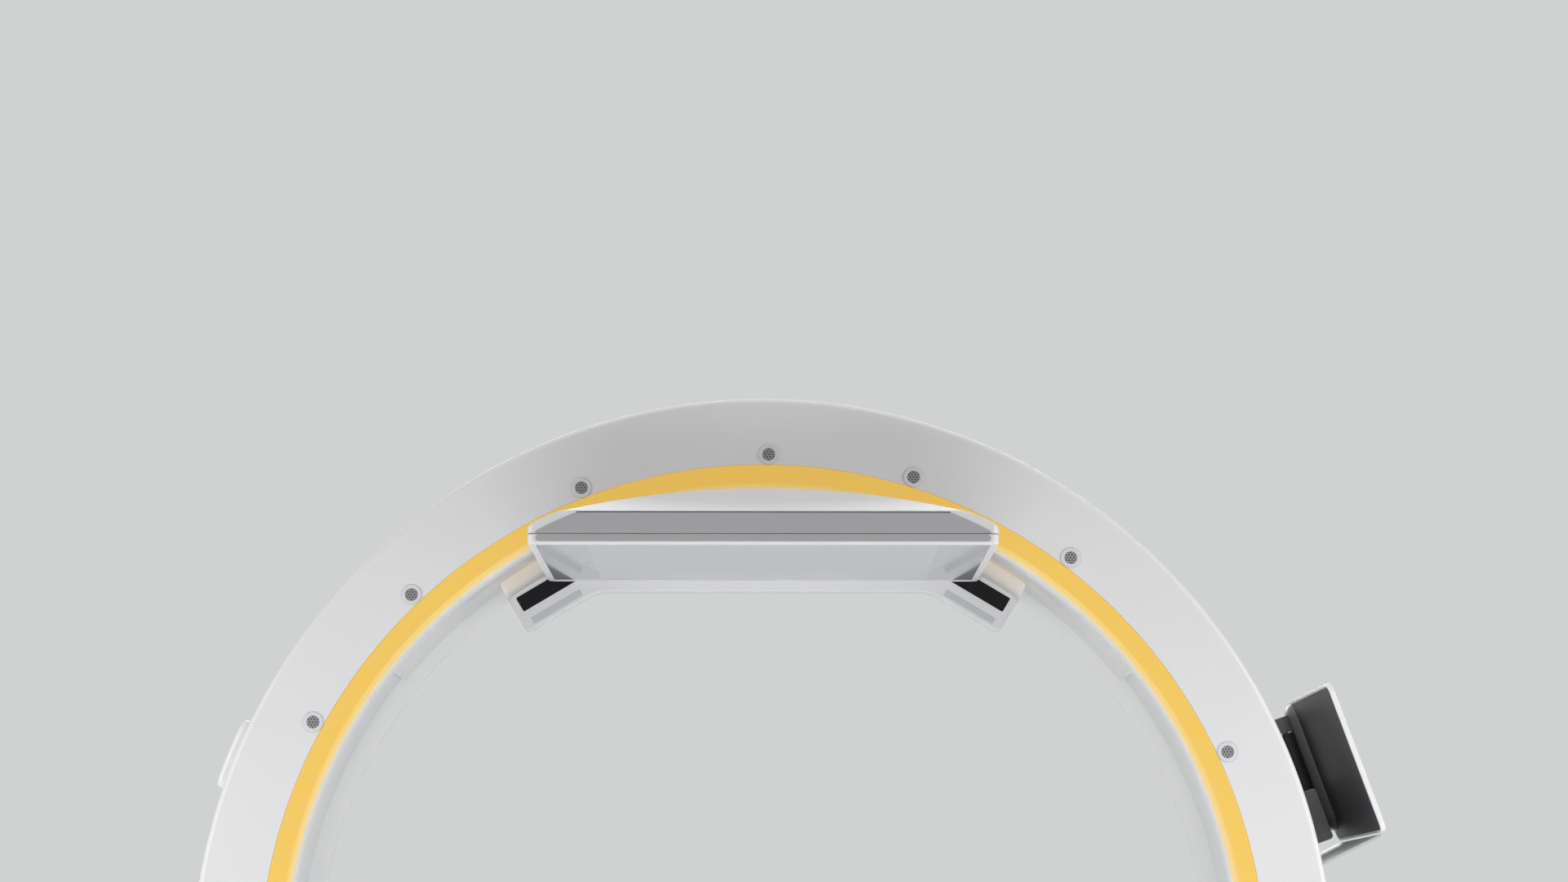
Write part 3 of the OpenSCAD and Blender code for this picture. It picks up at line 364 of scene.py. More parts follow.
moulded_grain = build_moulded_grain()
brushed = build_brushed()


# Materials

def shaded(name, rough=0.4, metallic=0.0, coat=0.0, ior=1.5, transmission=0.0):
    """Starts a material with one Principled shader, and its object coordinates."""
    mat = bpy.data.materials.new(name)
    mat.use_nodes = True
    tree = mat.node_tree
    shader = tree.nodes["Principled BSDF"]
    for key, value in (("Roughness", rough), ("Metallic", metallic), ("Coat Weight", coat),
                       ("Coat Roughness", 0.12), ("IOR", ior), ("Transmission Weight", transmission)):
        shader.inputs[key].default_value = value
    return mat, tree, shader, add(tree, "ShaderNodeTexCoord").outputs["Object"]


def moulded(name, color, rough=0.4, drift=0.04, grain=900.0, relief=0.05, rough_drift=0.05, coat=0.0,
            metallic=0.0, ior=1.5):
    """A moulded, painted or rubber finish."""
    mat, tree, shader, place = shaded(name, rough, metallic, coat, ior)
    shader.inputs["Base Color"].default_value = (*color, 1)
    pattern = add(tree, "ShaderNodeGroup", {
        "Vector": place, "Color": (*color, 1), "Drift": drift, "Roughness": rough,
        "Roughness Drift": rough_drift, "Grain Size": grain, "Relief": relief}, node_tree=moulded_grain)
    for socket, label, varies in (("Base Color", "Color", drift), ("Roughness", "Roughness", rough_drift),
                                  ("Normal", "Normal", relief)):
        if varies:
            tree.links.new(pattern.outputs[label], shader.inputs[socket])
    return mat


def metal(name, color, rough=0.3, stretch=(40, 900, 900)):
    """A brushed or turned metal finish, with its streaks along the axis of the smallest stretch."""
    mat, tree, shader, place = shaded(name, rough, 1.0)
    pattern = add(tree, "ShaderNodeGroup", {
        "Vector": place, "Color": (*color, 1), "Stretch": stretch, "Roughness": rough}, node_tree=brushed)
    for socket, label in (("Base Color", "Color"), ("Roughness", "Roughness"), ("Normal", "Normal")):
        tree.links.new(pattern.outputs[label], shader.inputs[socket])
    return mat


def yellow_with_painted_glow():
    """The accent band: satin yellow with a faint painted glow, an emission that brightens it beyond its
    lamps. From 617 to
    607 mm round the axis, on the band's inner rolled edge, both turn to cream: a painted highlight."""
    mat = moulded("accent_yellow", (0.45, 0.30, 0.07), rough=0.35, drift=0.03, relief=0.02)
    tree = mat.node_tree
    inputs = tree.nodes["Principled BSDF"].inputs
    # Painted highlight: cream colour and emission on the inner rolled edge. The yellow emission is a painted
    # glow.
    roll = distance_ramp(tree, (1, 0, 1), (0, 0, AXIS_Z / 1000), 0.617, 0.607)
    painted = inputs["Base Color"].links[0].from_socket
    shift_colour(tree, inputs["Base Color"], roll, painted, (0.62, 0.52, 0.30, 1))
    shift_colour(tree, inputs["Emission Color"], roll, (0.47, 0.29, 0.045, 1), (0.40, 0.30, 0.10, 1))
    inputs["Emission Strength"].default_value = 1.0
    return mat


def reflector():
    """A marker's reflector: dark hexagonal cells 4 mm apart with pale borders. The nearer of two interleaved
    lattices gives the place in a cell, and the larger of x and (x + sqrt 3 y) / 2 its nearness to the
    cell's border."""
    mat, tree, shader, _ = shaded("marker_reflector", 0.3)
    uv = add(tree, "ShaderNodeUVMap", uv_map="cell_place").outputs[0]
    step = (0.5, math.sqrt(3) / 2, 0)
    high, low = (0.5, math.sqrt(3) / 2, 1), (-0.5, -math.sqrt(3) / 2, -1)
    a = vectors(tree, "WRAP", uv, high, low)
    b = vectors(tree, "WRAP", vectors(tree, "SUBTRACT", uv, step), high, low)
    nearer = maths(tree, "LESS_THAN", vectors(tree, "LENGTH", a), vectors(tree, "LENGTH", b))
    cell = add(tree, "ShaderNodeMix", {0: nearer, 4: b, 5: a}, data_type="VECTOR")
    folded = vectors(tree, "ABSOLUTE", cell.outputs[1])
    across = add(tree, "ShaderNodeSeparateXYZ", {0: folded}).outputs[0]
    reach = maths(tree, "MAXIMUM", vectors(tree, "DOT_PRODUCT", folded, step), across)
    ramp = add(tree, "ShaderNodeValToRGB", {0: reach})
    stops = [(0.0, 0.15), (0.12, 0.11), (0.3, 0.08), (0.36, 0.12), (0.43, 0.42), (0.5, 0.50)]
    elements = ramp.color_ramp.elements
    elements[0].position, elements[1].position = stops[0][0], stops[-1][0]
    for position, _ in stops[1:-1]:
        elements.new(position)
    for element, (_, tone) in zip(elements, stops):
        element.color = (tone, tone, tone * 1.06, 1)
    tree.links.new(ramp.outputs[0], shader.inputs["Base Color"])
    tree.links.new(raised(tree, ramp.outputs[0], 0.6, 0.0004), shader.inputs["Normal"])
    return mat


def window_darker_at_ends():
    """The detector's window: pale satin sheet, a little darker towards its ends, from 212 mm out from
    the middle."""
    mat = moulded("window_grey", (0.46, 0.48, 0.53), rough=0.08, drift=0.02, relief=0.0, rough_drift=0.02)
    tree = mat.node_tree
    base = tree.nodes["Principled BSDF"].inputs["Base Color"]
    ends = distance_ramp(tree, (1, 0, 0), (0, 0, 0), 0.212, 0.214)
    shift_colour(tree, base, ends, base.links[0].from_socket, (0.39, 0.405, 0.44, 1))
    return mat


def white_with_painted_bounce():
    """The carriage's white, with painted warm light from the band on its front shoulders: emission from 584
    to 598 mm round the ring's axis, fading out from 205 to 240 mm behind the ring's face."""
    mat = moulded("carriage_white", (0.80, 0.80, 0.81), rough=0.38, drift=0.05, relief=0.03)
    tree = mat.node_tree
    shader = tree.nodes["Principled BSDF"]
    near = distance_ramp(tree, (1, 0, 1), (0, 0, AXIS_Z / 1000), 0.584, 0.598)
    front = distance_ramp(tree, (0, 1, 0), (0, FACE_Y / 1000, 0), 0.240, 0.205)
    # Painted light: this emission stands for the band's warm bounce light on the shoulders.
    tree.links.new(maths(tree, "MULTIPLY", near, front), shader.inputs["Emission Strength"])
    shader.inputs["Emission Color"].default_value = (0.27, 0.23, 0.18, 1)
    return mat


def clear_glass():
    """The X-ray tube's glass envelope."""
    mat, tree, shader, place = shaded("tube_glass", 0.05, ior=1.45, transmission=0.85)
    shader.inputs["Base Color"].default_value = (0.85, 0.9, 0.9, 1)
    tree.links.new(raised(tree, noise(tree, place, 60.0), 0.05, 0.001), shader.inputs["Normal"])
    return mat


MOULDED = {
    "white_shell": dict(color=(0.80, 0.80, 0.81), rough=0.38, drift=0.05, relief=0.03),
    "bright_white": dict(color=(0.87, 0.87, 0.875), rough=0.32, relief=0.03),
    "rotor_grey": dict(color=(0.76, 0.77, 0.78), rough=0.42),
    "marker_white": dict(color=(0.72, 0.72, 0.74), rough=0.45),
    # panel_grey's darkness on the detector's front panel and frame strip is painted shade on white faces;
    # elsewhere it is the parts' own grey.
    "panel_grey": dict(color=(0.43, 0.425, 0.44), rough=0.42, relief=0.08, grain=1400),
    "lens_black": dict(color=(0.006, 0.006, 0.008), rough=0.1, drift=0.0, relief=0.0, ior=1.3),
    "strip_grey": dict(color=(0.60, 0.61, 0.64), rough=0.25, relief=0.01),
    "tablet_black": dict(color=(0.040, 0.039, 0.045), rough=0.5, relief=0.10, grain=1100),
    # ridge_grey: lighter than the black tablet back the hump belongs to, a painted highlight for the light it
    # catches.
    "ridge_grey": dict(color=(0.20, 0.20, 0.205), rough=0.38, relief=0.06, grain=1100),
    "tablet_white": dict(color=(0.86, 0.86, 0.87), rough=0.35),
    "screen_glass": dict(color=(0.012, 0.013, 0.016), rough=0.10, drift=0.0, relief=0.005, coat=0.8),
    "bracket_grey": dict(color=(0.22, 0.22, 0.23), rough=0.45, relief=0.1),
    "guard_grey": dict(color=(0.42, 0.42, 0.43), rough=0.42, relief=0.06, grain=1100),
    "ledge_grey": dict(color=(0.50, 0.51, 0.53)),
    "bumper_rubber": dict(color=(0.10, 0.10, 0.105), rough=0.75, relief=0.25, grain=700),
    "wheel_rubber": dict(color=(0.20, 0.20, 0.21), rough=0.65, relief=0.2, grain=800),
    "frame_steel": dict(color=(0.22, 0.23, 0.25), rough=0.5, relief=0.2, grain=500),
    "cast_aluminium": dict(color=(0.60, 0.61, 0.62), rough=0.5, relief=0.35, grain=420, metallic=0.8),
    "drive_black": dict(color=(0.03, 0.03, 0.032), rough=0.5, relief=0.15),
    "electronics_box": dict(color=(0.30, 0.33, 0.36), rough=0.45, relief=0.1),
    "battery_case": dict(color=(0.05, 0.07, 0.075), rough=0.5, relief=0.2),
    "cable_orange": dict(color=(0.75, 0.25, 0.04), rough=0.5, relief=0.1),
    "inlet_black": dict(color=(0.02, 0.02, 0.022), rough=0.5, relief=0.15),
    "stop_yellow": dict(color=(0.78, 0.52, 0.03)),
    "stop_red": dict(color=(0.55, 0.02, 0.015), rough=0.32, relief=0.04, coat=0.2),
    "tube_metal": dict(color=(0.55, 0.56, 0.58), relief=0.25, grain=500, metallic=0.7),
}
METALS = {
    "fork_metal": dict(color=(0.58, 0.58, 0.60), rough=0.35),
    "bright_steel": dict(color=(0.66, 0.66, 0.67), rough=0.22, stretch=(900, 60, 900)),
    "drive_copper": dict(color=(0.72, 0.38, 0.22), rough=0.35, stretch=(300, 900, 300)),
    "anode_tungsten": dict(color=(0.36, 0.35, 0.34), stretch=(500, 500, 60)),
    "collimator_metal": dict(color=(0.45, 0.45, 0.46)),
    "sensor_metal": dict(color=(0.34, 0.36, 0.34), rough=0.35, stretch=(200, 900, 900)),
}
FINISHES = {name: moulded(name, **values) for name, values in MOULDED.items()}
FINISHES.update({name: metal(name, **values) for name, values in METALS.items()})
FINISHES.update(accent_yellow=yellow_with_painted_glow(), marker_reflector=reflector(), window_grey=window_darker_at_ends(),
                carriage_white=white_with_painted_bounce(), tube_glass=clear_glass())

# The record gives each CAD node its slot, and the slot gives its finish

for part in frame["record"]["subparts"]:
    for finish_slot in nodes[part["node"]].material_slots:
        finish_slot.material = FINISHES[part["material_slot"]]


# Ring covers, as profiles of (radius, depth), with a groove between them

INSIDE_R = 722.0
BAND_R = 640.0
EDGE_R = 8.0
SEAM_D, SEAM_HALF, SEAM_R = 180.0, 0.6, 0.8
BACK_D, WALL = 360.0, 4.0
COVE, COVE_R = (532, 293.4), 92.0

front_cover = path(
    arc((BAND_R, 0.6), 0.6, 180, 270, 2), arc((RING_R - EDGE_R, EDGE_R), EDGE_R, -90, 0),
    arc((RING_R - SEAM_R, SEAM_D - SEAM_HALF - SEAM_R), SEAM_R, 0, 90, 3), [INSIDE_R, SEAM_D - SEAM_HALF],
    [INSIDE_R, WALL], [643, WALL], [643, 7], [620, 7], [620, 3.2], [639.4, 3.2])
make("front_cover_skin", [turned(front_cover)], "white_shell", "gantry", "front_cover")

rear_cover = path(
    arc((RING_R - SEAM_R, SEAM_D + SEAM_HALF + SEAM_R), SEAM_R, -90, 0, 3),
    arc((RING_R - EDGE_R, BACK_D - EDGE_R), EDGE_R, 0, 90),
    arc((613, BACK_D - EDGE_R), EDGE_R, 90, 215.9, 16), arc(COVE, COVE_R, 35.9, 0, 24),
    arc(COVE, COVE_R + WALL, 0, 32, 12), [615, BACK_D - WALL], [INSIDE_R, BACK_D - WALL],
    [INSIDE_R, SEAM_D + SEAM_HALF])
make("rear_cover_skin", [turned(rear_cover)], "bright_white", "gantry", "rear_cover")

band = path([639, 3], [639, 0.4], [638.6, 0], arc((617, 8), 8, 270, 180, 10), [609, 9], [612, 9],
            arc((617, 8), 5, 180, 270, 6))
make("band_skin", [turned(band)], "accent_yellow", "gantry", "accent_band")

front_lip = path([617, 7], [617, 9], arc((609, 13), 4, 270, 180, 8), [605, 36],
                 arc((609.4, 37.5), 4.4, 180, 135, 4), [620, 55], [624, 55], [609, 40], [609, 13],
                 [BAND_R, 13], [BAND_R, 7])
make("front_lip_skin", [turned(front_lip)], "white_shell", "gantry", "front_lip")


# Tracking markers, as profiles of (radius, height above the face)

MARKERS = np.array([24.3, 52.6, 72.7, 89.4, 111.1, 133.9, 152, 206, 229, 251, 283, 305, 331])
MARKER_R = 652.6
CELL = 4.0


def marker_place(angle):
    """Local x and y on the ring's face, z towards the viewer, at a marker's middle."""
    a = math.radians(angle)
    return frame_at((MARKER_R * math.cos(a), FACE_Y, AXIS_Z + MARKER_R * math.sin(a)),
                    (1, 0, 0), (0, 0, 1), (0, -1, 0))


rim = path([8.1, 0.2], arc((8.7, 0.6), 0.6, 180, 90, 3), arc((11.8, 0.0), 1.2, 90, 0, 5), [13.0, -0.2],
           [8.1, -0.2])
disc = path([0, 0.9], [7.2, 0.8], arc((7.3, 0.3), 0.5, 80, 0, 3), [7.8, -0.2])
# A grey ring at each marker's rim: painted shadow outline.
shadow_ring = path([12.4, 0.05], [12.6, 0.3], [13.3, 0.3], [13.5, -0.2], [12.4, -0.2])
make("marker_rim_rings", [spun(rim, marker_place(a), closed=True) for a in MARKERS], "marker_white",
     "gantry", "marker_rims", sharp=50)
discs = make("marker_reflectors", [spun(disc, marker_place(a), caps="b") for a in MARKERS],
             "marker_reflector", "gantry", "marker_discs")
make("marker_shadow_rings", [spun(shadow_ring, marker_place(a), closed=True) for a in MARKERS], "window_grey",
     "gantry")


def map_cells(mesh):
    """Gives the reflectors a UV map in cells: the place from the nearest marker's middle, over the cells'
    distance."""
    co = np.empty(len(mesh.vertices) * 3)
    mesh.vertices.foreach_get("co", co)
    flat = co.reshape(-1, 3)[:, [0, 2]] * 1000 - [0, AXIS_Z]
    a = np.radians(MARKERS)
    away = flat[:, None] - MARKER_R * np.column_stack([np.cos(a), np.sin(a)])[None]
    near = np.linalg.norm(away, axis=2).argmin(1)
    local = away[np.arange(len(flat)), near] / CELL
    index = np.empty(len(mesh.loops), int)
    mesh.loops.foreach_get("vertex_index", index)
    mesh.uv_layers.new(name="cell_place").data.foreach_set("uv", local[index].ravel())


map_cells(discs.data)


# Detector, in places (x, depth, height above the axis)

DET_X, DET_FRONT, DET_REAR = 285.0, -310.0, 137.0
DET_EDGE = 10.0
SEAM_Z = 514.0
ROOF_R = 596.0
ROOF_EDGE = 4.0
FRAME_Z, FRAME_EDGE = 501.0, 3.5


def roof_height(x, d):
    """The roof over (x, depth): the lower of the circle sqrt(596^2 - x^2) and the slope from 542 at the
    front, which rises 48 over 178 mm, blended over 3 mm by a smooth minimum."""
    circle = np.sqrt(np.maximum(ROOF_R ** 2 - x ** 2, 0))
    slope = 542 + (d - DET_FRONT) * 48 / 178
    k = 3.0
    return np.minimum(circle, slope) - k * np.exp(-np.abs(circle - slope) / k) * 0.5


def quarter(e, f):
    """How far a quarter circle of radius f lies below its top, at a distance e from its edge."""
    e = np.clip(e, 0, f)
    return f - np.sqrt(f ** 2 - (f - e) ** 2)


def detector_section(d, seam):
    """The roof's outline (x, z) at a depth, from the right foot over the top to the left foot, with its
    points closer together at both sides. Near the front its half width shrinks by a quarter circle of
    radius 10 and its top by one of radius 2."""
    e = d - DET_FRONT
    half = DET_X - quarter(e, DET_EDGE)
    across = np.cos(np.radians(np.linspace(0, 180, 97)))
    x = half * np.sin(np.radians(90 * across)) * 0.35 + half * across * 0.65
    top = roof_height(x, d) - quarter(e, 2.0)
    side = roof_height(half, d) - quarter(e, 2.0) - seam
    edge = np.minimum(ROOF_EDGE, np.maximum(side, 0.2) * 0.9)
    z = top - edge / ROOF_EDGE * quarter(half - np.abs(x), ROOF_EDGE)
    wall = np.array([[half, seam], [half, (seam + z[0]) / 2]])
    return np.vstack([wall, np.column_stack([x, z]), wall[::-1] * [-1, 1]])


def at_depth(section, d):
    """Gives the points (x, z) of a section a depth: (x, d, z)."""
    return np.insert(section, 1, d, axis=1)


def under_curve(x, low, high):
    """A closed outline between a level line and a curve over the same x."""
    return path(np.column_stack([x, np.full(len(x), low)]), np.column_stack([x, high])[::-1])


rounding = DET_FRONT + DET_EDGE * (1 - np.cos(np.radians(np.linspace(0, 90, 13))))
depths = np.concatenate([rounding, np.linspace(-297, DET_REAR, 62)])
roof = np.stack([at_depth(detector_section(d, SEAM_Z + 0.5), max(d, DET_FRONT + 0.7)) for d in depths])
make("detector_roof_skin", [grid(along_ring(roof), caps="ab")], "white_shell", "detector_rotor",
     "detector_roof")

plan = resampled(round_rect(-DET_X, DET_FRONT, DET_X, DET_REAR, DET_EDGE), 30)
frame_rows = path([0.5, 513.5], [0, 513.1],
                  arc((FRAME_EDGE, FRAME_Z + FRAME_EDGE), FRAME_EDGE, 180, 270, 6),
                  [9.0, FRAME_Z], [9.7, FRAME_Z + 0.7], [9.7, 513.5])
make("detector_frame_skin", [rail(plan, frame_rows, along_ring)], "white_shell", "detector_rotor",
     "detector_lower_frame")
make("detector_window_pane", [slab(plan, path([9.95, 501.8], [9.75, 502.1], [9.75, 505]), along_ring)],
     "window_grey", "detector_rotor", "detector_window")
# A black strip in the gap between the frame and the panel: painted shade of the seam.
make("detector_shade_line", [rail(plan, path([1.0, 512.5], [1.0, 516], [7, 516], [7, 512.5]), along_ring)],
     "drive_black", "detector_rotor")

# The front panel takes panel_grey: a darker grey that paints shade on a white face.
panel_x = np.linspace(-DET_X + DET_EDGE, DET_X - DET_EDGE, 111)
panel = under_curve(panel_x, SEAM_Z + 0.6, np.minimum(np.sqrt(589.0 ** 2 - panel_x ** 2) - 4, 539.6))
make("detector_panel_skin", [slab(panel, path([0, -306], [0, -309.8], [0.2, DET_FRONT]), facing)],
     "panel_grey", "detector_rotor", "detector_front_panel")
# A black strip behind the panel's top edge: painted shade of the hairline gap.
shade_line_outline = under_curve(np.linspace(-226, 226, 41), 522, np.full(41, 540.7))
make("detector_panel_shade_line", [slab(shade_line_outline, path([0, -307], [0, -309.75]), facing)], "drive_black",
     "detector_rotor")
# A grey strip on the lower frame's white front: painted shade.
strip = path(arc((271, 508.6), 4.2, -90, 90, 6), arc((-271, 508.6), 4.2, 90, 270, 6))
make("detector_frame_shade_strip", [slab(strip, path([0, -309], [0, -310.1], [0.3, -310.4]), facing)],
     "panel_grey", "detector_rotor")


# The detector's carriage. Its wings slope down by 30.8 degrees: N points out of a wing and S along it

WING = math.radians(30.8)
N = np.array([math.sin(WING), math.cos(WING)])
S = np.array([math.cos(WING), -math.sin(WING)])
WING_S = 46.0
WING_FOOT, BAR_Z = 532.0, 488.0
PAD_R, PAD_D, PAD_A = (617.0, 624.0), (180.0, 288.0), (38, 142)


def wing_point(n, s):
    """A place on the right wing, n out from the axis and s outwards along the wing."""
    return n * N + s * S


def corner_curve(before, corner, after, f, steps=6):
    """Rounds one corner with (1-t)^2 a + 2 t (1-t) corner + t^2 b, a and b lying f from the corner."""
    a = corner + f * (before - corner) / np.linalg.norm(before - corner)
    b = corner + f * (after - corner) / np.linalg.norm(after - corner)
    t = np.linspace(0, 1, steps + 1)[:, None]
    return (1 - t) ** 2 * a + 2 * t * (1 - t) * corner + t ** 2 * b


def carriage_section(r, lift):
    """The outline of the bar and its two wings under a circle of radius r, with the underside raised by
    lift: fillets of 9 mm at the corners of the wings and 14 mm where each wing meets the bar."""
    top = wing_point(math.sqrt(r ** 2 - WING_S ** 2), WING_S)
    foot = wing_point(WING_FOOT + lift, WING_S)
    bar_z = BAR_Z + lift
    inner = np.array([(WING_FOOT + lift - bar_z * N[1]) / N[0], bar_z])
    a0 = math.degrees(math.atan2(top[1], top[0]))
    turn = math.degrees(9 / r)
    over = arc((0, 0), r, a0 + turn, 180 - a0 - turn, 72)
    right = path(corner_curve(inner * [0, 1], inner, foot, 14), corner_curve(inner, foot, top, 9),
                 corner_curve(foot, top, over[0], 9)[:-1])
    return path(right, over, (right * [-1, 1])[::-1])


def shoulder(d):
    """Radius of the carriage's back at a depth: 586 at 139, rising as a quarter sine to 621 at 235."""
    return 586 + 35 * np.sin(np.radians(90 * np.clip((d - 139) / 96, 0, 1)))


def lift_at(d):
    """Rise of the underside: none up to 165, then 14 mm along a half cosine by 215."""
    return 7 * (1 - np.cos(np.pi * np.clip((d - 165) / 50, 0, 1)))


def wing_plate(side, n0, n1, s0, s1, r, rows):
    """A rounded plate on a wing's face: side (x, z) = side (n N + s S), with rows (inset, depth)."""
    place = frame_at((0, FACE_Y, AXIS_Z), (side * N[0], 0, N[1]), (side * S[0], 0, S[1]), (0, 1, 0))
    return slab(round_rect(n0, s0, n1, s1, r, 4), rows, place)


stations = path([137, 2], [137.3, 1], [137.9, 0.35], [139, 0],
                np.column_stack([np.linspace(143, 290, 38), np.zeros(38)]))
carriage = np.stack([at_depth(inset(carriage_section(shoulder(d), lift_at(d)), i), d) for d, i in stations])
make("detector_carriage_skin", [grid(along_ring(carriage), caps="ab")], "carriage_white",
     "detector_rotor", "detector_carriage")
pads = ring_place(np.array(PAD_R + PAD_R[::-1]), np.radians(np.linspace(*PAD_A, 80))[:, None],
                  np.repeat(PAD_D, 2))
make("carriage_pads", [grid(pads, caps="ab")], "white_shell", "detector_rotor")

window_rows = path([0, 141], [0, 136.9], [0.3, 136.6])
strip_rows = path([0, 141], [0, 136.9], [0.3, 136.7])
make("scanner_window_panes", [wing_plate(k, 558, 579, -46, 36, 2, window_rows) for k in BOTH], "lens_black",
     "detector_rotor", "scanner_windows")
make("status_strip_panes", [wing_plate(k, 537, 546, -42.5, 32.5, 0.4, strip_rows) for k in BOTH],
     "strip_grey", "detector_rotor", "status_strips")


# Side module on the rim

MODULE_A = 158.6

module_rows = path([0, -3], groove(2.0, 1.2, 0.8), top_edge(7, 20))
make("side_module_skin", [cushion(resampled(round_rect(70, -46, 270, 46, 14), 12), module_rows,
                                  bent_on_rim(MODULE_A))],
     "bright_white", "gantry", "side_module")


# Tablet on the rim, in places (depth, along the rim, distance from the axis)

TABLET_A = 19.7
HINGE = (330.0, 0, 779.0)
BARREL_R, BARREL_LOW, BARREL_HIGH = 11.0, -70.0, 52.0
BACK_Z, GLASS_Z, BEZEL_Z = 800.0, 804.0, 808.0
RIDGE_W, RIDGE_H = 20.0, 12.4

on_tablet = at_rim(TABLET_A)
tablet_plan = round_rect(0, -110, 365, 91, 13.5)
barrel = path([0, BARREL_LOW], [BARREL_R - 0.6, BARREL_LOW], [BARREL_R, BARREL_LOW + 0.6],
              [BARREL_R, BARREL_HIGH - 0.6], [BARREL_R - 0.6, BARREL_HIGH], [0, BARREL_HIGH])
make("tablet_back_shell", [
    slab(tablet_plan, path([4.6, BACK_Z], [3.6, BACK_Z + 0.4], [3, BACK_Z + 1.4], [3, GLASS_Z]), on_tablet),
    spun(barrel, reordered(on_tablet, [0, 2, 1], HINGE))], "tablet_black", "tablet", "tablet_back")
make("tablet_bracket_guard", [
    slab(round_rect(722, -102, 786, -30, 5), path([1, 303], [0, 302], [0, 298.6], [0.6, 298]),
         reordered(on_tablet, [2, 1, 0]))], "guard_grey", "gantry")
# The ridge's lighter grey is a painted highlight on the tablet's black back.
ridge_a = np.radians(np.linspace(0, 90, 12))
ridge = np.column_stack([RIDGE_W * (1 - np.cos(ridge_a)), BACK_Z + 0.4 - RIDGE_H * np.sin(ridge_a)])
make("tablet_ridge_cover", [slab(round_rect(313, -95, 362, 88, 20), ridge, on_tablet)], "ridge_grey",
     "tablet")
bezel = path([3.2, 801], [0.4, 801], [0, 801.4], [0, 806.2], [0.4, 807.2], [1.4, 807.8], [2.4, BEZEL_Z],
             [11.3, BEZEL_Z], [12, 807.5], [12, GLASS_Z], [3.2, GLASS_Z])
make("tablet_bezel_ring", [rail(tablet_plan, bezel, on_tablet)], "tablet_white", "tablet", "tablet_bezel")
glass = path([12.1, GLASS_Z], [12.1, 807.3], [12.5, 807.6])
make("tablet_screen_glass", [cushion(resampled(tablet_plan, 20), glass, on_tablet)], "screen_glass",
     "tablet", "tablet_screen")


# Source housing under the ring's axis

shell = path(arc((156, -324), 24, 0, 90), arc((-156, -324), 24, 90, 180),
             arc((0, 0), 590, 252.24, 287.76, 30))
shell_rows = path([21, -290], [20.3, -289], [18.7, -289], [18, -290], foot_edge(14, -290),
                  groove(-160, 1.6, 0.9), groove(42, 1.6, 0.9), top_edge(1.5, 57))
make("source_shell_skin", [slab(shell, shell_rows, facing)], "white_shell", "source_rotor", "source_shell")
make("source_window_pane", [slab(round_rect(-140, -250, 140, 0, 10),
                                 path([0, -301.5], [0, -300.2], [0.5, -299.7]), along_ring)],
     "window_grey", "source_rotor", "source_window")


# Columns

SLOPE = math.radians(10)
HEAD_R = 100.0
COLUMN_X = (745.0, 838.0)
COLUMN_MIDDLE = sum(COLUMN_X) / 2
COLUMN_F = 12.0
DECK_Z, PLINTH_Z, SKIRT_Z = 160.0, 163.0, 46.0


def column_half(r, z):
    """Half the depth of a column with head radius r at a height: r cos s + (r sin s + h) tan s."""
    return r * math.cos(SLOPE) + (r * math.sin(SLOPE) + AXIS_Z - z) * math.tan(SLOPE)


def column_outline(t):
    """A column's side view (y, z), moved in by t: two slopes tangent to the head's circle."""
    r = HEAD_R - t
    head = arc((0, AXIS_Z), r, 10, 170, 48)
    up = np.linspace(0, 1, 14)[:-1, None]
    foot = np.array([column_half(r, PLINTH_Z), PLINTH_Z])
    slope = foot + up * (head[0] - foot)
    return path(slope, head, slope[::-1] * [-1, 1])


def column(side):
    """A column cover: its side view stepped across x, with quarter circles at both edges, a shallow groove
    round a panel on each flat side and a seam groove in the middle."""
    x0, x1 = COLUMN_X
    panel_line = np.array([[31.6, 0], [31, 0.9], [29.6, 0.9], [29, 0]])
    seam = path([0, -1.2], [1.3, -0.5], [1.3, 0.5], [0, 1.2]) + [0, COLUMN_MIDDLE]
    rows = path(panel_line + [0, x0], foot_edge(COLUMN_F, x0, 7), seam, top_edge(COLUMN_F, x1, 7),
                (panel_line * [1, -1] + [0, x1])[::-1])
    return grid(np.stack([np.insert(column_outline(t), 0, side * x, axis=1) for t, x in rows]), caps="ab")


for side, word in ((-1, "left"), (1, "right")):
    make(word + "_column_skin", [column(side)], "white_shell", "base", word + "_column_cover")

cap = path([0, 837.5], [57, 837.5], [58, 838.2], [58, 839.6], [57, 840.4], [49, 840.4], [48, 839.6],
           [46.5, 839.6], [45.5, 840.4], [0, 840.8])
make("pivot_caps", [spun(cap, frame_at((0, 0, AXIS_Z), (0, 1, 0), (0, 0, 1), (k, 0, 0)), 72) for k in BOTH],
     "panel_grey", "base")


# Emergency stops on the columns' front slopes

STOP_Y, STOP_Z = -149.6, 657.4


def stop_place(side):
    """Local z out of a column's front slope, x right, at the middle of a stop."""
    return frame_at((side * COLUMN_MIDDLE, STOP_Y, STOP_Z), (1, 0, 0),
                    (0, math.sin(SLOPE), math.cos(SLOPE)), (0, -math.cos(SLOPE), math.sin(SLOPE)))


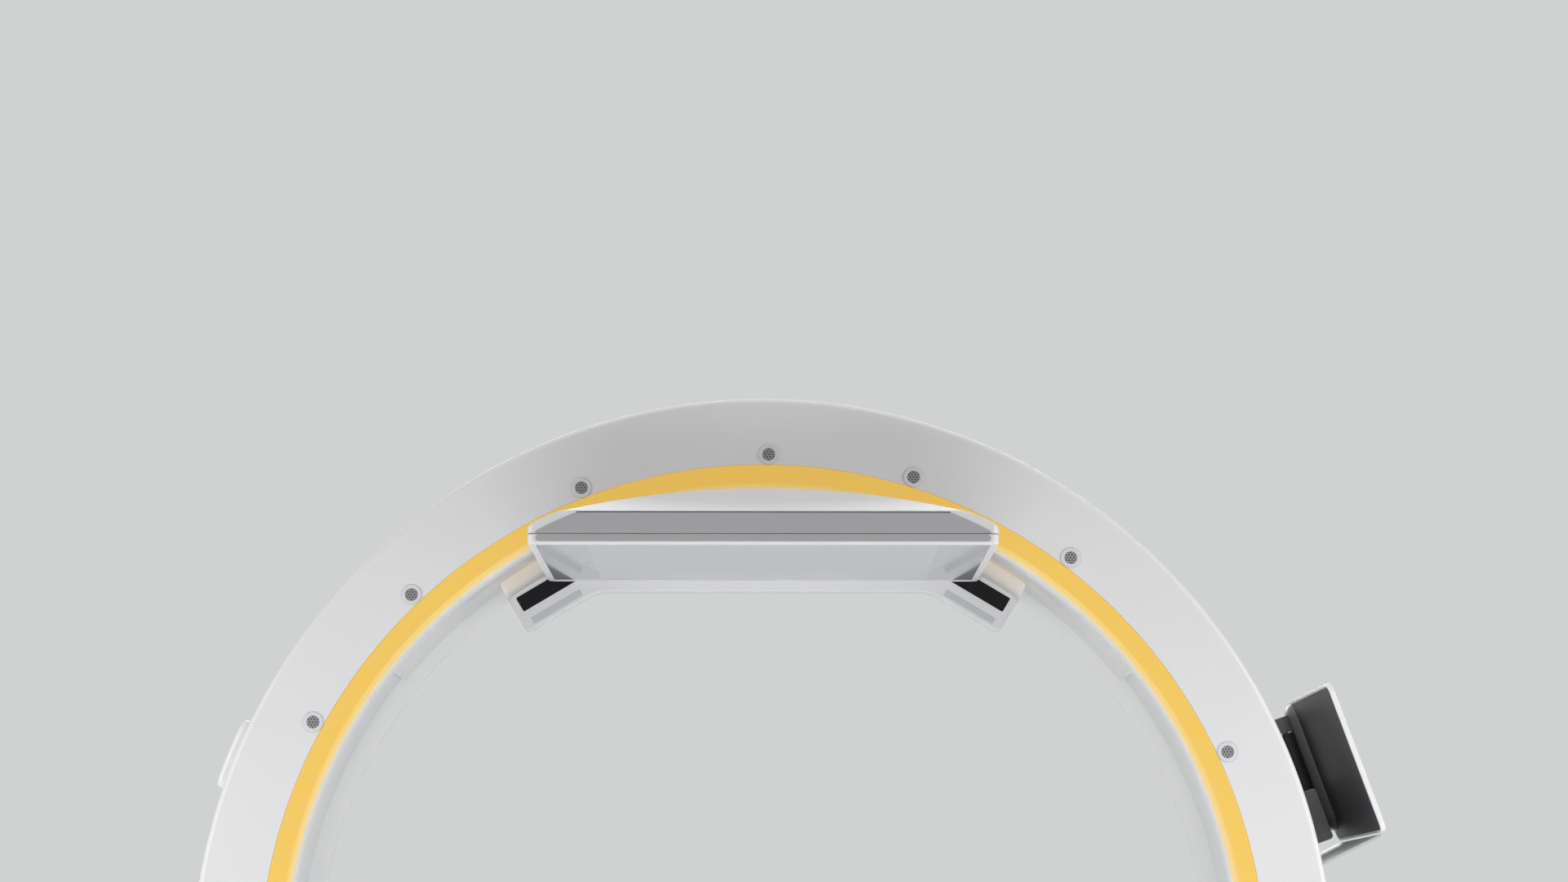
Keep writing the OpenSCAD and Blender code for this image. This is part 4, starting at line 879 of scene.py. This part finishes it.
housing = path([8.2, -1], [29, -1], [30, 0.2], arc((28.5, 8.5), 1.5, 0, 90, 4), [26.6, 10], [25, 10.6],
               arc((23.8, 11.8), 1.2, 0, 90, 4), [9, 13], [8.2, 12.2])
make("stop_housing_rings", [spun(housing, stop_place(k), closed=True) for k in BOTH], "stop_yellow", "base",
     "stop_housings")
mushroom = path([0, -2], [8, -2], [8, 19], [13, 19], arc((14.5, 23.5), 4.5, -70, 60, 8), [14, 29.6],
                [12, 30.5], [10.8, 30.7], [10.2, 30.1], [9.6, 30.3], [0, 31])
for side, word in ((-1, "left"), (1, "right")):
    make("stop_mushroom_" + word, [spun(mushroom, stop_place(side))], "stop_red", "stop_" + word,
         "stop_button_" + word)


# Base

DECK_X, DECK_Y, DECK_R = 844.0, 494.0, 90.0
DECK_EDGE = 16.0
OPENING_HALF = 33
OPENING_COLUMN = 26


def deck_shell():
    """The deck and its skirt as a shell 4 mm thick, open below, with the power inlet's opening cut through
    the rear wall by leaving out one face of each side and joining their edges. Rows 3 and 4 are the top and
    bottom of the opening on the inner wall, 10 and 9 on the outer wall."""
    x, y, r = DECK_X, DECK_Y, DECK_R
    plan = path(arc((x - r, r - y), r, -90, 0, 12), arc((x - r, y - r), r, 0, 90, 12), [OPENING_HALF, y],
                [-OPENING_HALF, y], arc((r - x, y - r), r, 90, 180, 12), arc((r - x, r - y), r, 180, 270, 12))
    rows = path([20, 156], [9, 152.5], [4, 143], [4, 135], [4, 95], [4, 47], [3.2, SKIRT_Z], [0.8, SKIRT_Z],
                [0, 46.8], [0, 95], [0, 135], top_edge(DECK_EDGE, DECK_Z, 7), [58, DECK_Z],
                [58.8, DECK_Z - 1.2], [60.2, DECK_Z - 1.2], [61, DECK_Z])
    points, faces = grid(stacked(plan, rows), caps="ab")
    left_out = [row * len(plan) + OPENING_COLUMN for row in (3, 9)]
    keep = [f for i, f in enumerate(faces) if i not in left_out]
    near, far = ([row * len(plan) + OPENING_COLUMN + k for row in (3, 4, 9, 10)] for k in (0, 1))
    keep += [[near[1], far[1], far[2], near[2]], [near[0], far[0], far[3], near[3]], near, far]
    return points, keep


foot = column_half(HEAD_R, PLINTH_Z)
plinth_rows = path([0, 158], [0, 162], [0.4, PLINTH_Z])
plinths = [slab(round_rect(COLUMN_X[0], -foot, COLUMN_X[1], foot, 12), plinth_rows, mirrored(k))
           for k in BOTH]
make("chassis_skin", [deck_shell()] + plinths, "white_shell", "base", "chassis_cover")

bumper = path([6, 46], [1.6, 46], [0.4, 46.6], [0, 48], [0, 57.5], [1.6, 59], [1.6, 61], [0, 62.5],
              [0, 69.5], [1.6, 71], [1.6, 73], [0, 74.5], [0, 84], [0.4, 85.4], [1.6, 86], [6, 86])
make("bumper_strip", [rail(round_rect(-850, -500, 850, 500, 96, 14), bumper, straight)], "bumper_rubber",
     "base", "base_bumper")


# Power inlet in the base's rear wall, in places (x right, y up, z out of the wall)

INLET_Z = 115.0
PINS = ((0, 3.5), (-9, -3.5), (9, -3.5))

at_inlet = reordered(straight, [0, 2, 1], (0, DECK_Y, INLET_Z))


def inlet_layer(w, h, r, z):
    """One layer of the inlet: a rounded rectangle 2w by 2h at a height z."""
    return np.insert(round_rect(-w, -h, w, h, r, 4), 2, z, axis=1)


layers = [(32.5, 19.5, 3, -46), (32.5, 19.5, 3, 0), (42, 25, 5, 0), (42, 25, 5, 3.2), (41.2, 24.2, 4.2, 4),
          (26, 14, 4, 4), (24.6, 12.6, 3, 3.2), (24, 12, 3, 1.5), (24, 12, 3, -36)]
make("inlet_socket_body", [grid(at_inlet(np.stack([inlet_layer(*l) for l in layers])), caps="ab")],
     "inlet_black", "base", "power_inlet")
pin_rows = path([0, -37], [0, -16], [0.5, -15.4])
make("inlet_blades", [slab(round_rect(x - 1, y - 3, x + 1, y + 3, 0.6, 3), pin_rows, at_inlet)
                      for x, y in PINS], "bright_steel", "base")


# Castors, in places about the foot of the swivel, with profiles of (radius, height)

CASTOR_X, CASTOR_Y = 700, 390
TRAIL, WHEEL_R = 30, 50
TYRE_Y = (-22, 22)


def on_axle(place, y):
    """Turned shapes about a castor's axle: local z runs along it, from y."""
    return reordered(place, [0, 2, 1], (-TRAIL, y, WHEEL_R))


web = path([16, 107], arc((-40, 99), 8, 90, 180), arc((-TRAIL, WHEEL_R), 16, 180, 325), [12, 84], [16, 92])
web_rows = path([2.5, -9], [0.8, -8.4], [0, -7], [0, 7], [0.8, 8.4], [2.5, 9])
crown = path([0, 102], [33, 102], [34, 103], [34, 107], [33, 108], [13, 108], [12, 109], [12, 146], [0, 146])
pin = path([0, -38], [5, -38], [6, -37], [6, 37], [5, 38], [0, 38])
tread = path([31, -11], [34, -12], [44, -12], arc((44, -6), 6, -90, 0, 6), [50, -4.4], [48.7, -3.8],
             [48.7, -2.6], [50, -2], [50, 2], [48.7, 2.6], [48.7, 3.8], [50, 4.4], arc((44, 6), 6, 0, 90, 6),
             [34, 12], [31, 11])
hub = path([6.2, -12], [13, -12], [15, -11], [16, -7], [27, -6], [30, -9.5], [31.2, -10.5], [31.2, 10.5],
           [30, 9.5], [27, 6], [16, 7], [15, 11], [13, 12], [6.2, 12])
for kx, ky, corner in ((-1, -1, "front_left"), (1, -1, "front_right"), (-1, 1, "rear_left"),
                       (1, 1, "rear_right")):
    place = mirrored(kx, CASTOR_X, ky * CASTOR_Y)
    make("fork_body_" + corner, [slab(web, web_rows, reordered(place, [0, 2, 1])), spun(crown, place),
                                 spun(pin, on_axle(place, 0), 32)],
         "fork_metal", "castor_" + corner, "castor_fork_" + corner)
    make("tyre_pair_" + corner, [spun(tread, on_axle(place, y), 72, closed=True) for y in TYRE_Y],
         "wheel_rubber", "wheels_" + corner, "castor_wheels_" + corner)
    make("hub_pair_" + corner, [spun(hub, on_axle(place, y), closed=True) for y in TYRE_Y],
         "panel_grey", "wheels_" + corner)


# Stage: floor, lamps, world and camera, in metres

BACKDROP = (0.631, 0.645, 0.638, 1)
FLOOR = (0.78, 0.79, 0.785, 1)
FLOOR_R = 30
SKY = (0.95, 0.97, 1.0, 1)
SKY_STRENGTH = 0.06


def in_sight(tree):
    """1 for the rays of the camera, of mirrors and of glass, 0 for the light's other rays."""
    rays = add(tree, "ShaderNodeLightPath").outputs
    direct = maths(tree, "MAXIMUM", rays["Is Camera Ray"], rays["Is Glossy Ray"])
    return maths(tree, "MAXIMUM", direct, rays["Is Transmission Ray"])


def blended(tree, share, first, second):
    """Mixes two shaders: the first where the share is 0, the second where it is 1."""
    return add(tree, "ShaderNodeMixShader", {0: share, 1: first.outputs[0], 2: second.outputs[0]})


def stage_floor():
    """A pale floor that keeps shadows near the wheels. Outside an oval 0.9 m by 0.55 m, what the camera,
    mirrors and glass see of it turns into the backdrop's colour, and from below it is clear."""
    mesh = bpy.data.meshes.new("studio_floor")
    outline = np.insert(arc((0, 0), FLOOR_R, 0, 360, 96)[:-1], 2, 0, axis=1)
    mesh.from_pydata(outline.tolist(), [], [list(range(96))])
    floor = bpy.data.objects.new("studio_floor", mesh)
    bpy.context.scene.collection.objects.link(floor)
    mat, tree, shader, _ = shaded("studio_floor", 0.9)
    shader.inputs["Specular IOR Level"].default_value = 0.1
    shader.inputs["Base Color"].default_value = FLOOR
    far = distance_ramp(tree, (0.61, 1, 1), (0, 0, 0), 0.55, 1.15)
    glow = add(tree, "ShaderNodeEmission", {"Color": BACKDROP})
    above = blended(tree, maths(tree, "MULTIPLY", in_sight(tree), far), shader, glow)
    below = add(tree, "ShaderNodeNewGeometry").outputs["Backfacing"]
    surface = blended(tree, below, above, add(tree, "ShaderNodeBsdfTransparent"))
    tree.links.new(surface.outputs[0], tree.nodes["Material Output"].inputs["Surface"])
    mesh.materials.append(mat)


def softbox(name, place, aim, width, height, watts):
    """A rectangular lamp aimed at a point, hidden from the camera."""
    light = bpy.data.lights.new(name, "AREA")
    light.shape, light.size, light.size_y, light.energy = "RECTANGLE", width, height, watts
    lamp = bpy.data.objects.new(name, light)
    bpy.context.scene.collection.objects.link(lamp)
    lamp.location = place
    lamp.rotation_euler = (Vector(aim) - Vector(place)).to_track_quat("-Z", "Y").to_euler()
    lamp.visible_camera = False


def build_world():
    """A dim grey sky for the light, and the studio's pale grey for what the camera, mirrors and glass see."""
    world = bpy.data.worlds.new("studio")
    bpy.context.scene.world = world
    world.use_nodes = True
    tree = world.node_tree
    tree.nodes.clear()
    ambient = add(tree, "ShaderNodeBackground", {"Color": SKY, "Strength": SKY_STRENGTH})
    backdrop = add(tree, "ShaderNodeBackground", {"Color": BACKDROP, "Strength": 1.0})
    mix = blended(tree, in_sight(tree), ambient, backdrop)
    add(tree, "ShaderNodeOutputWorld", {"Surface": mix.outputs[0]})


def place_camera(distance, pitch, turn, lens):
    """The photograph's view: on the ring's axis, pitched up so that most of the lower half is out of it."""
    camera = bpy.data.objects.new("camera", bpy.data.cameras.new("camera"))
    bpy.context.scene.collection.objects.link(camera)
    camera.location = (0, -distance, AXIS_Z / 1000)
    camera.rotation_euler = Euler((math.radians(90 + pitch), 0, math.radians(turn)))
    camera.data.lens = lens
    camera.data.sensor_width = 36
    camera.data.clip_end = 200
    bpy.context.scene.camera = camera


stage_floor()
softbox("left_softbox", (-2.1, -1.0, 1.15), (0, -0.18, 1.1), 1.0, 1.8, 24)
softbox("right_softbox", (2.1, -1.0, 1.15), (0, -0.18, 1.1), 1.0, 1.8, 24)
softbox("right_high_softbox", (2.4, -0.8, 2.8), (0, -0.1, 1.1), 1.4, 1.4, 7)
softbox("low_softbox", (0, -1.9, 0.45), (0, -0.1, 1.3), 2.0, 0.8, 13)
softbox("top_softbox", (0, -0.3, 3.6), (0, 0, 1.0), 2.6, 2.2, 32)
softbox("rear_softbox", (0, 3.0, 2.6), (0, 0, 1.0), 3.0, 2.0, 68)
build_world()
place_camera(distance=4.972, pitch=7.96, turn=-0.32, lens=85.8)
bpy.context.scene.view_settings.view_transform = "Standard"
